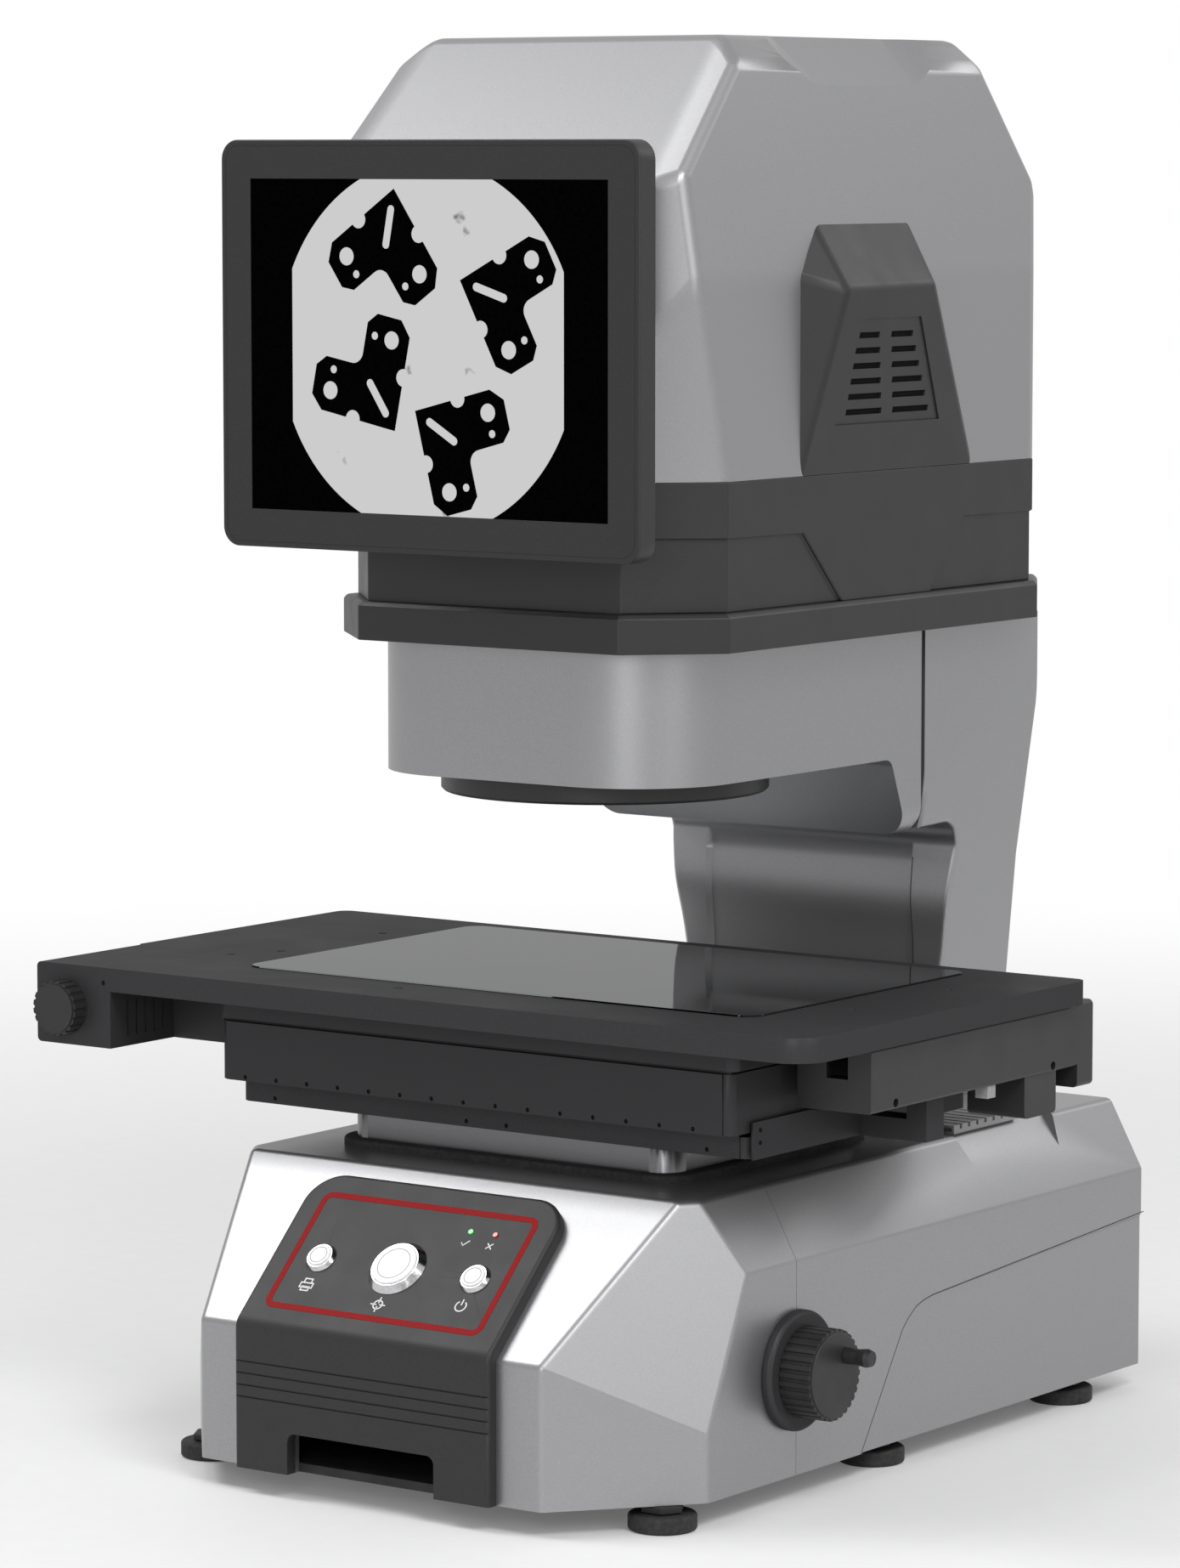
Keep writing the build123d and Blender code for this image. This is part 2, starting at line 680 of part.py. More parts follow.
def button_bezel(x, cap, bezel, height):
    """A flared metal ring on the panel with the switch barrel behind it."""
    ring_plane = panel_plane(TRIM_PROUD)
    flare = loft([ring_plane * Pos(x, BUTTON_ROW) * Circle(bezel + BEZEL_FLARE),
                  ring_plane.offset(height) * Pos(x, BUTTON_ROW) * Circle(bezel)])
    barrel = panel_rod(x, BUTTON_ROW, -BUTTON_DEPTH, TRIM_PROUD, cap + BARREL_WALL - SEAT_GAP / 2)
    body = flare + barrel
    body -= panel_rod(x, BUTTON_ROW, -BUTTON_DEPTH + BARREL_WALL, TRIM_PROUD + height + 1, cap + CAP_GAP)
    return body


def button_bezels():
    return [button_bezel(x, cap, bezel, height) for _, x, cap, bezel, height in buttons()]


def button_cap(x, cap, height):
    bottom = -BUTTON_DEPTH + BARREL_WALL + CAP_TRAVEL + CAP_GAP
    top = TRIM_PROUD + height + CAP_PROUD
    body = panel_rod(x, BUTTON_ROW, bottom, top, cap)
    rim = body.edges().sort_by(panel_axis())[-1]
    return fillet(rim, 0.5)


def panel_axis():
    plane = panel_plane()
    return Axis(plane.origin, plane.z_dir)


def status_lamps():
    return [panel_rod(x, LAMP_ROW, 0.0, TRIM_PROUD + LAMP_PROUD, LAMP_RADIUS)
            for x in (LAMP_OK_X, LAMP_NG_X)]


# Handwheel

def handwheel_flange():
    body = rod((BASE_HALF, WHEEL_Y, WHEEL_Z), (BASE_HALF + FLANGE_THICK, WHEEL_Y, WHEEL_Z), FLANGE_RADIUS)
    rim = body.edges().sort_by(Axis.X)[-1]
    body = chamfer(rim, 2.0)
    neck = rod((BASE_HALF - BASE_WALL - 8, WHEEL_Y, WHEEL_Z), (BASE_HALF, WHEEL_Y, WHEEL_Z),
               SHAFT_RADIUS + 1.8)
    body += neck
    body -= rod((BASE_HALF - 20, WHEEL_Y, WHEEL_Z), (BASE_HALF + 10, WHEEL_Y, WHEEL_Z),
                SHAFT_RADIUS + SHAFT_PLAY)
    return body


def fluted_disc(plane, radius, width, count, flute):
    """A knob body with half-round flutes cut along its rim."""
    face = plane * Circle(radius)
    for index in range(count):
        angle = 2 * pi * index / count
        face -= plane * Pos(radius * cos(angle), radius * sin(angle)) * Circle(flute)
    return extrude(face, amount=width)


def wheel_face():
    return BASE_HALF + FLANGE_THICK + WHEEL_GAP + WHEEL_WIDTH


def crank_centre():
    return WHEEL_Y + CRANK_OFFSET_Y, WHEEL_Z + CRANK_OFFSET_Z


def handwheel():
    start = BASE_HALF + FLANGE_THICK + WHEEL_GAP
    end = wheel_face()
    plane = Plane(origin=(start, WHEEL_Y, WHEEL_Z), x_dir=(0, 1, 0), z_dir=(1, 0, 0))
    body = fluted_disc(plane, WHEEL_RADIUS, WHEEL_WIDTH - KNOB_FACE, WHEEL_FLUTES, FLUTE_RADIUS)
    boss = rod((end - 2 * KNOB_FACE, WHEEL_Y, WHEEL_Z), (end, WHEEL_Y, WHEEL_Z),
               WHEEL_RADIUS - FLUTE_RADIUS - KNOB_FACE)
    body += chamfer(boss.edges().sort_by(Axis.X)[-1], KNOB_FACE / 2)
    body -= rod((start - 1, WHEEL_Y, WHEEL_Z), (end - 4, WHEEL_Y, WHEEL_Z), SHAFT_RADIUS)
    y, z = crank_centre()
    return body + rod((end - 1, y, z), (end + CRANK_LENGTH - CRANK_END_WALL, y, z), CRANK_PIN)


def crank_grip():
    y, z = crank_centre()
    start = wheel_face() + WHEEL_GAP
    end = wheel_face() + CRANK_LENGTH
    profile = [(0, start), (CRANK_RADIUS - 0.6, start), (CRANK_RADIUS - 0.8, start + 8),
               (CRANK_RADIUS, end - 3), (CRANK_RADIUS - 1.0, end), (0, end)]
    face = make_face(Polyline([(x, y + radius, z) for radius, x in profile], close=True))
    body = revolve(face, axis=Axis((0, y, z), (1, 0, 0)))
    body -= rod((start - 1, y, z), (end - CRANK_END_WALL + CAP_GAP, y, z), CRANK_PIN + SHAFT_PLAY)
    return body


def gear_outline(teeth, module, thinning):
    """Points of a spur pinion with straight-sided teeth that suit the rack, thinned for backlash."""
    pitch = module * teeth / 2
    tip = pitch + 0.8 * module
    root = pitch - 1.1 * module
    half_pitch = (pi * module / 2 - thinning) / 2 / pitch
    half_tip = half_pitch - tan(radians(20)) * 0.8 * module / pitch
    half_root = half_pitch + tan(radians(14)) * 1.1 * module / pitch
    points = []
    for index in range(teeth):
        middle = 2 * pi * index / teeth + pi
        for radius, offset in ((root, -half_root), (tip, -half_tip), (tip, half_tip), (root, half_root)):
            points.append((radius * cos(middle + offset), radius * sin(middle + offset)))
    return points


def handwheel_shaft():
    start = BASE_HALF + FLANGE_THICK + WHEEL_GAP
    end_x = PINION_X - PINION_WIDTH / 2 - BEARING_WIDTH - 6
    body = rod((end_x, WHEEL_Y, WHEEL_Z), (start + WHEEL_WIDTH - 4, WHEEL_Y, WHEEL_Z), SHAFT_RADIUS)
    points = gear_outline(PINION_TEETH, RACK_MODULE, RACK_BACKLASH)
    x0 = PINION_X - PINION_WIDTH / 2
    teeth = side_prism([(WHEEL_Y + a, WHEEL_Z + b) for a, b in points], x0, x0 + PINION_WIDTH)
    return body + teeth


def rack_pitch_y():
    return WHEEL_Y - RACK_MODULE * PINION_TEETH / 2


def lift_rack():
    """A straight rack on the pedestal's front wall, with its teeth towards the pinion."""
    pitch_line = rack_pitch_y()
    back = -PEDESTAL_HALF_Y + PEDESTAL_WALL
    tip = pitch_line + 0.8 * RACK_MODULE
    root = pitch_line - 1.1 * RACK_MODULE
    step = pi * RACK_MODULE
    half_pitch = (step / 2 - RACK_BACKLASH) / 2
    half_tip = half_pitch - tan(radians(20)) * 0.8 * RACK_MODULE
    half_root = half_pitch + tan(radians(20)) * 1.1 * RACK_MODULE
    low = BASE_BOTTOM + FLOOR_THICK + LIFT_DOWN + 1.5
    high = PEDESTAL_BOTTOM + 40
    outline = [(back, high), (back, low), (root, low)]
    gaps_below = int((WHEEL_Z - low) / step)
    gaps_above = int((WHEEL_Z + LIFT_DOWN + 12 - WHEEL_Z) / step)
    for index in range(-gaps_below, gaps_above + 1):
        middle = WHEEL_Z + (index + 0.5) * step
        outline += [(root, middle - half_root), (tip, middle - half_tip), (tip, middle + half_tip),
                    (root, middle + half_root)]
    outline.append((root, high))
    x0 = PINION_X - PINION_WIDTH / 2
    return side_prism(outline, x0, x0 + PINION_WIDTH)


def shaft_bearings():
    """Two bearing blocks on the base plate carry the lift shaft."""
    blocks = []
    floor = BASE_BOTTOM + FLOOR_THICK
    for x in (PINION_X - PINION_WIDTH / 2 - BEARING_WIDTH - 2, PINION_X + PINION_WIDTH / 2 + 2):
        outline = [(WHEEL_Y - 18, floor), (WHEEL_Y - 18, floor + 8), (WHEEL_Y - 11, floor + 12),
                   (WHEEL_Y - 11, WHEEL_Z), (WHEEL_Y - 8, WHEEL_Z + 9), (WHEEL_Y + 8, WHEEL_Z + 9),
                   (WHEEL_Y + 11, WHEEL_Z), (WHEEL_Y + 11, floor + 12), (WHEEL_Y + 18, floor + 8),
                   (WHEEL_Y + 18, floor)]
        body = side_prism(outline, x, x + BEARING_WIDTH)
        body -= rod((x - 1, WHEEL_Y, WHEEL_Z), (x + BEARING_WIDTH + 1, WHEEL_Y, WHEEL_Z),
                    SHAFT_RADIUS + SHAFT_PLAY)
        blocks.append(body)
    return blocks


# Column

def column_planes():
    inside = (0, 250, 350)
    waist = both_sides(inside, (COLUMN_HALF, COLUMN_CREASE_Y, 0),
                       (COLUMN_HALF + COLUMN_SPAN * COLUMN_TAPER_Y, COLUMN_CREASE_Y + COLUMN_SPAN, 0),
                       (COLUMN_HALF, COLUMN_CREASE_Y, 50))
    foot = COLUMN_HALF - COLUMN_SPAN * COLUMN_TAPER_Z
    taper = both_sides(inside, (COLUMN_HALF, COLUMN_CREASE_Y, COLUMN_WAIST),
                       (COLUMN_HALF + COLUMN_SPAN * COLUMN_TAPER_Y, COLUMN_CREASE_Y + COLUMN_SPAN,
                        COLUMN_WAIST),
                       (foot, COLUMN_CREASE_Y, COLUMN_WAIST - COLUMN_SPAN))
    return [*waist, *taper]


def column_outline(inset=0.0):
    """The side profile of the casting: a head block over a slimmer neck that flares at its foot."""
    return [(COLUMN_FRONT + inset, LIP_BOTTOM), (COLUMN_FRONT + inset, NECK_TOP + inset),
            (NECK_FRONT - NECK_HOLLOW + inset, NECK_TOP + inset),
            (NECK_FRONT - 0.3 * NECK_HOLLOW + inset, NECK_TOP - 0.3 * NECK_HOLLOW + inset),
            (NECK_FRONT - 0.5 + inset, NECK_TOP - NECK_HOLLOW + inset),
            (NECK_BELLY + inset, NECK_BELLY_Z), (NECK_FRONT + inset, STAGE_TOP - 10),
            (NECK_FRONT + inset, BASE_TOP + inset), (COLUMN_TAIL - inset, BASE_TOP + inset),
            (COLUMN_TAIL - inset, COLUMN_TAIL_Z), (COLUMN_REAR - inset, COLUMN_TAIL_TOP),
            (COLUMN_REAR - inset, LIP_BOTTOM)]


def column_form(inset=0.0):
    reach = COLUMN_HALF - inset
    body = side_prism(column_outline(inset), -reach, reach)
    return cut_back(body, column_planes(), inset)


def column_casting():
    body = column_form()
    front = body.edges().filter_by(Axis.Z).filter_by(lambda edge: edge.center().Y < COLUMN_FRONT + 1)
    body = fillet(front, COLUMN_ROUND)
    hollow = column_form(COLUMN_WALL)
    floor = BASE_BOTTOM + FLOOR_THICK
    post = block(-POST_HALF, POST_HALF, POST_FRONT, POST_REAR, floor, BASE_TOP)
    shaft = block(-POST_HALF + COLUMN_WALL, POST_HALF - COLUMN_WALL, POST_FRONT + COLUMN_WALL,
                  POST_REAR - COLUMN_WALL, floor + COLUMN_WALL, BASE_TOP + 2 * COLUMN_WALL)
    pocket = side_prism([(y + PANEL_RECESS, z) for y, z in panel_line()]
                        + [(COLUMN_FRONT, PANEL_TOP), (COLUMN_FRONT, PANEL_BOTTOM)], -PANEL_HALF, PANEL_HALF)
    body = body + post - hollow - shaft - pocket
    return body


def panel_line():
    """The front of the neck behind the stage, from the bottom of the panel to its top."""
    return [(NECK_FRONT, PANEL_BOTTOM), (NECK_FRONT, STAGE_TOP - 10), (NECK_BELLY, NECK_BELLY_Z),
            (NECK_FRONT - 1.0, PANEL_TOP)]


def neck_panel():
    line = panel_line()
    outer = [(y + PANEL_RECESS - PANEL_THICK, z) for y, z in line]
    inner = [(y + PANEL_RECESS, z) for y, z in reversed(line)]
    reach = PANEL_HALF - SEAT_GAP
    return side_prism(outer + inner, -reach, reach)


# Lens housing

def housing_outline(inset=0.0):
    lean = (BEAM_FRONT_LOW - BEAM_FRONT_HIGH) / (HOUSING_BOTTOM - BEAM_BOTTOM)
    foot = BEAM_FRONT_LOW - lean * inset
    return [(HOUSING_FRONT + inset, LIP_BOTTOM), (HOUSING_FRONT + inset, HOUSING_BOTTOM + inset),
            (BEAM_FRONT_HIGH + inset, HOUSING_BOTTOM + inset), (foot + inset, BEAM_BOTTOM + inset),
            (HOUSING_REAR, BEAM_BOTTOM + inset), (HOUSING_REAR, LIP_BOTTOM)]


def housing_form(inset=0.0):
    reach = HOUSING_HALF - inset
    body = side_prism(housing_outline(inset), -reach, reach)
    low = BEAM_BOTTOM + inset
    beam = front_prism([(-reach, low), (-reach, LIP_BOTTOM), (reach, LIP_BOTTOM), (reach, low)],
                       HOUSING_FRONT, HOUSING_REAR)
    lower = beam.edges().filter_by(Axis.Y).filter_by(lambda edge: edge.center().Z < low + 1)
    body = body & fillet(lower, BEAM_CORNER - inset)
    front = body.edges().filter_by(Axis.Z).filter_by(lambda edge: edge.center().Y < HOUSING_FRONT + inset + 1)
    return fillet(front, HOUSING_CORNER - inset)


def lens_housing():
    body = housing_form()
    notch = body.edges().filter_by(Axis.X).filter_by(
        lambda edge: abs(edge.center().Y - BEAM_FRONT_HIGH) < 0.5
        and abs(edge.center().Z - HOUSING_BOTTOM) < 0.5)
    body = fillet(notch, NOTCH_ROUND)
    body -= housing_form(HOUSING_WALL)
    body -= rod((0, 0, HOUSING_BOTTOM - 1), (0, 0, HOUSING_BOTTOM + HOUSING_WALL + 1), BARREL_RADIUS + 1)
    body -= block(-POST_HALF, POST_HALF, HOUSING_REAR - HOUSING_WALL - 1, HOUSING_REAR + 1,
                  HOUSING_BOTTOM, LIP_BOTTOM + 1)
    return body


def ring_light_housing():
    body = rod((0, 0, RING_BOTTOM), (0, 0, HOUSING_BOTTOM), RING_RADIUS)
    body -= rod((0, 0, RING_BOTTOM - 1), (0, 0, HOUSING_BOTTOM + 1), RING_INNER)
    rim = body.edges().sort_by(Axis.Z)[:2].sort_by(SortBy.LENGTH)[-1]
    body = chamfer(rim, 1.5)
    channel = rod((0, 0, RING_BOTTOM - 1), (0, 0, RING_BOTTOM + DIFFUSER_THICK), RING_RADIUS - RING_RIM)
    channel -= rod((0, 0, RING_BOTTOM - 1), (0, 0, RING_BOTTOM + DIFFUSER_THICK), RING_INNER + RING_RIM)
    return body - channel


def ring_light_diffuser():
    top = RING_BOTTOM + DIFFUSER_THICK
    body = rod((0, 0, RING_BOTTOM + 0.6), (0, 0, top), RING_RADIUS - RING_RIM - 0.1)
    return body - rod((0, 0, RING_BOTTOM), (0, 0, top + 1), RING_INNER + RING_RIM + 0.1)


def lens_barrel():
    """The telecentric lens tube, which stands on the housing floor and tapers towards the camera."""
    floor = HOUSING_BOTTOM + HOUSING_WALL
    outer = [(0, BARREL_BOTTOM), (BARREL_RADIUS, BARREL_BOTTOM), (BARREL_RADIUS, floor),
             (BARREL_RADIUS + 12, floor), (BARREL_RADIUS + 12, floor + 6), (BARREL_RADIUS, floor + 6),
             (BARREL_RADIUS, BARREL_SHOULDER), (BARREL_NECK, BARREL_TAPER_TOP), (BARREL_NECK, CAMERA_BOTTOM),
             (0, CAMERA_BOTTOM)]
    wall = BARREL_RADIUS - LENS_RADIUS
    inner = [(0, BARREL_BOTTOM - 1), (LENS_RADIUS, BARREL_BOTTOM - 1), (LENS_RADIUS, BARREL_SHOULDER - 1),
             (BARREL_NECK - wall, BARREL_TAPER_TOP - 1), (BARREL_NECK - wall, CAMERA_BOTTOM - 20),
             (0, CAMERA_BOTTOM - 20)]
    return turned(outer) - turned(inner)


def turned(profile):
    """A body of revolution about the optical axis from (radius, height) points."""
    face = make_face(Polyline([(radius, 0, z) for radius, z in profile], close=True))
    return revolve(face, axis=Axis.Z)


def objective_lens():
    body = rod((0, 0, BARREL_BOTTOM + 3), (0, 0, BARREL_BOTTOM + 13), LENS_RADIUS)
    bulge = Pos(0, 0, BARREL_BOTTOM + 1.5 + LENS_BULGE) * Sphere(LENS_BULGE)
    return (rod((0, 0, BARREL_BOTTOM + 1), (0, 0, BARREL_BOTTOM + 13), LENS_RADIUS) & bulge) + body


def camera_body():
    half = CAMERA_SIZE / 2
    body = block(-half, half, -half, half, CAMERA_BOTTOM, CAMERA_BOTTOM + CAMERA_LENGTH)
    body = fillet(body.edges().filter_by(Axis.Z), 3.0)
    for index in range(5):
        z = CAMERA_BOTTOM + 12 + index * 8
        groove = block(-half - 1, half + 1, -half - 1, half + 1, z, z + 3)
        groove -= block(-half + 2, half - 2, -half + 2, half - 2, z - 1, z + 4)
        body -= groove
    return body


# Head

def head_plan(grow=0.0):
    """The plan outline shared by the head's lip and belt, larger by grow on every side."""
    side = LIP_HALF - LIP_PROUD + grow
    nose = LIP_NOSE_HALF - 0.4 * LIP_PROUD + 0.4 * grow
    tail = HEAD_TAIL_HALF - LIP_PROUD + grow
    front = LIP_FRONT + LIP_PROUD - grow
    corner = LIP_CORNER_Y + LIP_PROUD - grow
    rear_corner = LIP_REAR_CORNER_Y
    rear = HEAD_REAR - LIP_PROUD + grow
    right = [(nose, front), (side, corner), (side, rear_corner), (tail, rear)]
    return right + [(-x, y) for x, y in reversed(right)]


def head_lip():
    body = plan_prism(head_plan(LIP_PROUD), LIP_BOTTOM, LIP_TOP)
    top = body.edges().filter_by(lambda edge: edge.center().Z > LIP_TOP - 0.1)
    body = chamfer(top, LIP_CHAMFER)
    body -= plan_prism(head_plan(-HEAD_WALL - SEAT_GAP), LIP_BOTTOM + LIP_FLOOR, LIP_TOP + 1)
    body -= rod((0, 0, LIP_BOTTOM - 1), (0, 0, LIP_TOP), BARREL_RADIUS + 1)
    return body - block(-40, 40, COLUMN_FRONT + 30, COLUMN_REAR - 30, LIP_BOTTOM - 1, LIP_TOP)


def head_belt():
    body = plan_prism(head_plan(), LIP_TOP, BELT_TOP)
    for outline in (BELT_PANEL_FRONT, BELT_PANEL_REAR):
        cutter = side_prism(outline, 0, LIP_HALF + 5)
        core = plan_prism(head_plan(-BELT_PANEL_DEPTH), LIP_TOP - 1, BELT_TOP + 1)
        panel = cutter - core
        body -= panel
        body -= mirror(panel, about=Plane.YZ)
    return body - plan_prism(head_plan(-HEAD_WALL), LIP_TOP - 1, BELT_TOP + 1)


def head_planes():
    inside = (0, 60, 650)
    side = LIP_HALF - LIP_PROUD
    slope = outward(inside, (0, HEAD_FRONT, HEAD_SLOPE_FOOT_Z), (0, HEAD_SLOPE_TOP_Y, HEAD_TOP - 2),
                    (10, HEAD_FRONT, HEAD_SLOPE_FOOT_Z))
    rear = outward(inside, (0, HEAD_REAR_SLOPE_Y, HEAD_TOP), (0, HEAD_REAR_SLOPE_LOW_Y, HEAD_REAR_SLOPE_Z),
                   (10, HEAD_REAR_SLOPE_Y, HEAD_TOP))
    lean = both_sides(inside, (side, 0, HEAD_CREASE), (HEAD_SHOULDER_HALF, 0, HEAD_SHOULDER),
                      (side, 50, HEAD_CREASE))
    bevel = both_sides(inside, (HEAD_SHOULDER_HALF, 0, HEAD_SHOULDER), (HEAD_ROOF_HALF, 0, HEAD_TOP),
                       (HEAD_SHOULDER_HALF, 50, HEAD_SHOULDER))
    brow = both_sides(inside, *HEAD_BROW)
    cheek = both_sides(inside, *HEAD_CHEEK)
    corner = both_sides(inside, (side, HEAD_CORNER_Y, 600), (HEAD_CORNER_HALF, HEAD_FRONT, 600),
                        (side, HEAD_CORNER_Y, 700))
    tail = both_sides(inside, (side, LIP_REAR_CORNER_Y, 600),
                      (HEAD_TAIL_HALF - LIP_PROUD, HEAD_REAR - LIP_PROUD, 600),
                      (side, LIP_REAR_CORNER_Y, 700))
    return [slope, rear, *lean, *bevel, *brow, *cheek, *corner, *tail]


def head_form(inset=0.0):
    side = LIP_HALF - LIP_PROUD - inset
    body = block(-side, side, HEAD_FRONT + inset, HEAD_REAR - LIP_PROUD - inset, BELT_TOP, HEAD_TOP - inset)
    return cut_back(body, head_planes(), inset)


def head_scallop(grow=0.0):
    side = LIP_HALF - LIP_PROUD
    lean = (side - HEAD_SHOULDER_HALF) / (HEAD_SHOULDER - HEAD_CREASE)
    low_z = HEAD_SHOULDER - HEAD_SCALLOP_DROP
    low_x = side - (low_z - HEAD_CREASE) * lean
    high_x = HEAD_ROOF_HALF - HEAD_SCALLOP_BITE
    return scallop((low_x, low_z), (high_x, HEAD_TOP), HEAD_SCALLOP, (HEAD_SHOULDER_HALF, HEAD_SHOULDER),
                   grow)


def head_cover():
    body = fillet(edges_above(head_form(), BELT_TOP + 1), HEAD_ROUND)
    cutter = head_scallop()
    body -= cutter
    body -= mirror(cutter, about=Plane.YZ)
    cavity = head_form(HEAD_WALL)
    cutter = head_scallop(HEAD_WALL)
    body -= cavity - cutter - mirror(cutter, about=Plane.YZ)
    body -= block(-LIP_HALF - 5, LIP_HALF + 5, VENT_FRONT + 20, VENT_TOP_REAR, BELT_TOP + 12,
                  VENT_RIDGE_Z - 20)
    return body


def vent_planes():
    side = LIP_HALF - LIP_PROUD
    inside = (side + 2, 70, 620)
    ridge = side + VENT_PROUD
    face = outward(inside, (side, 0, BELT_TOP), (side, 50, BELT_TOP), (ridge, 0, VENT_RIDGE_Z))
    lean = (side - HEAD_SHOULDER_HALF) / (HEAD_SHOULDER - HEAD_CREASE)
    top_x = side - (VENT_TOP - HEAD_CREASE) * lean
    top = outward(inside, (top_x, 0, VENT_TOP), (top_x, 50, VENT_TOP), (ridge, 0, VENT_RIDGE_Z))
    ridge_y = VENT_FRONT + VENT_PROUD
    front = outward(inside, (side, VENT_FRONT, BELT_TOP), (side, VENT_FRONT, VENT_RIDGE_Z),
                    (ridge, ridge_y, VENT_RIDGE_Z))
    corner = outward(inside, (top_x, ridge_y, VENT_TOP), (side, VENT_FRONT, VENT_SHOULDER_Z),
                     (ridge, ridge_y + 1, VENT_RIDGE_Z))
    rear = outward(inside, (side, VENT_LOW_REAR, BELT_TOP), (ridge, VENT_TOP_REAR, VENT_RIDGE_Z),
                   (side, VENT_TOP_REAR + VENT_PROUD, VENT_RIDGE_Z))
    return [face, top, front, corner, rear]


def vent_form(inset=0.0):
    side = LIP_HALF - LIP_PROUD
    body = block(side - 20, side + VENT_PROUD + 5, VENT_FRONT - 5 + inset, VENT_LOW_REAR + 5, BELT_TOP,
                 VENT_TOP + 5)
    return cut_back(body, vent_planes(), inset)


def vent_cover():
    """A faceted hood over the side louvres that grows out of the belt and ends flush at its top."""
    body = vent_form()
    outer = body.edges().filter_by(lambda edge: edge.center().X > LIP_HALF - LIP_PROUD + 2)
    body = fillet(outer, VENT_ROUND)
    body -= vent_form(VENT_WALL)
    body -= head_form()
    body -= block(0, LIP_HALF, VENT_FRONT - 10, VENT_LOW_REAR + 10, BELT_TOP - 1, BELT_TOP)
    for index in range(SLOT_ROWS):
        share = index / (SLOT_ROWS - 1)
        z = SLOT_TOP - index * SLOT_PITCH
        for top_span, low_span in ((SLOT_LEFT_TOP, SLOT_LEFT_LOW), (SLOT_RIGHT_TOP, SLOT_RIGHT_LOW)):
            start = top_span[0] + share * (low_span[0] - top_span[0])
            stop = top_span[1] + share * (low_span[1] - top_span[1])
            body -= block(LIP_HALF - LIP_PROUD, LIP_HALF + VENT_PROUD + 5, start, stop, z - SLOT_HEIGHT / 2,
                          z + SLOT_HEIGHT / 2)
    return body


def vent_covers():
    right = vent_cover()
    return [right, mirror(right, about=Plane.YZ)]


# Display

def display_case(inset, y0, y1):
    middle = (DISPLAY_TOP + DISPLAY_BOTTOM) / 2
    face = RectangleRounded(2 * (DISPLAY_HALF - inset), DISPLAY_TOP - DISPLAY_BOTTOM - 2 * inset,
                            DISPLAY_ROUND - min(inset, DISPLAY_ROUND / 2))
    plane = Plane(origin=(0, y0, middle), x_dir=(1, 0, 0), z_dir=(0, -1, 0))
    return extrude(plane * face, amount=-(y1 - y0))


def display_housing():
    back = DISPLAY_FACE + DISPLAY_THICK
    body = display_case(0.0, DISPLAY_FACE, back)
    front = body.edges().filter_by(lambda edge: edge.center().Y < DISPLAY_FACE + 0.01)
    body = fillet(front, 1.0)
    body = chamfer(body.edges().filter_by(lambda edge: edge.center().Y > back - 0.01), 4.0)
    pocket = block(-SCREEN_HALF, SCREEN_HALF, DISPLAY_FACE - 1, DISPLAY_FACE + SCREEN_DEEP,
                   SCREEN_CENTRE - SCREEN_HEIGHT / 2, SCREEN_CENTRE + SCREEN_HEIGHT / 2)
    return body - pocket


def display_glass():
    low = SCREEN_CENTRE - SCREEN_HEIGHT / 2
    high = SCREEN_CENTRE + SCREEN_HEIGHT / 2
    return block(-SCREEN_HALF + 0.1, SCREEN_HALF - 0.1, DISPLAY_FACE + 0.4, DISPLAY_FACE + SCREEN_DEEP,
                 low + 0.1, high - 0.1)


def display_bracket():
    """A plate on the back of the display, a boxed arm and a foot bolted to the head's front."""
    back = DISPLAY_FACE + DISPLAY_THICK
    plate = block(-VESA_HALF, VESA_HALF, back, back + BRACKET_PLATE, SCREEN_CENTRE - VESA_HALF,
                  SCREEN_CENTRE + VESA_HALF)
    plate = fillet(plate.edges().filter_by(Axis.Y), 6.0)
    foot = block(-BRACKET_HALF, BRACKET_HALF, HEAD_FRONT - BRACKET_PLATE, HEAD_FRONT,
                 SCREEN_CENTRE - BRACKET_HALF, SCREEN_CENTRE + BRACKET_HALF)
    foot = fillet(foot.edges().filter_by(Axis.Y), 6.0)
    arm = block(-BRACKET_ARM, BRACKET_ARM, back + BRACKET_PLATE, HEAD_FRONT - BRACKET_PLATE,
                SCREEN_CENTRE - BRACKET_ARM, SCREEN_CENTRE + BRACKET_ARM)
    inner = BRACKET_ARM - BRACKET_PLATE
    hollow = block(-inner, inner, back - 1, HEAD_FRONT + 1, SCREEN_CENTRE - inner, SCREEN_CENTRE + inner)
    return plate + arm + foot - hollow


# Stage lift

def pedestal():
    body = rounded_plan(PEDESTAL_HALF_X, PEDESTAL_HALF_Y, PEDESTAL_CORNER, PEDESTAL_BOTTOM, LOWER_BOTTOM)
    body -= rounded_plan(PEDESTAL_HALF_X - PEDESTAL_WALL, PEDESTAL_HALF_Y - PEDESTAL_WALL,
                         PEDESTAL_CORNER - PEDESTAL_WALL, PEDESTAL_BOTTOM - 1, LOWER_BOTTOM - PEDESTAL_LID)
    body -= rod((0, 0, PEDESTAL_BOTTOM), (0, 0, LOWER_BOTTOM + 1), CONDENSER_RADIUS - 4)
    for side in (-1, 1):
        x = side * GUIDE_X
        wall = side * (PEDESTAL_HALF_X - PEDESTAL_WALL + 1)
        body += block(min(x - BOSS_HALF, wall), max(x + BOSS_HALF, wall), -BOSS_HALF, BOSS_HALF,
                      PEDESTAL_BOTTOM, PEDESTAL_BOTTOM + BOSS_HEIGHT)
        body -= rod((x, 0, PEDESTAL_BOTTOM - 1), (x, 0, PEDESTAL_BOTTOM + BOSS_HEIGHT + 1),
                    GUIDE_RADIUS + SHAFT_PLAY)
    return body


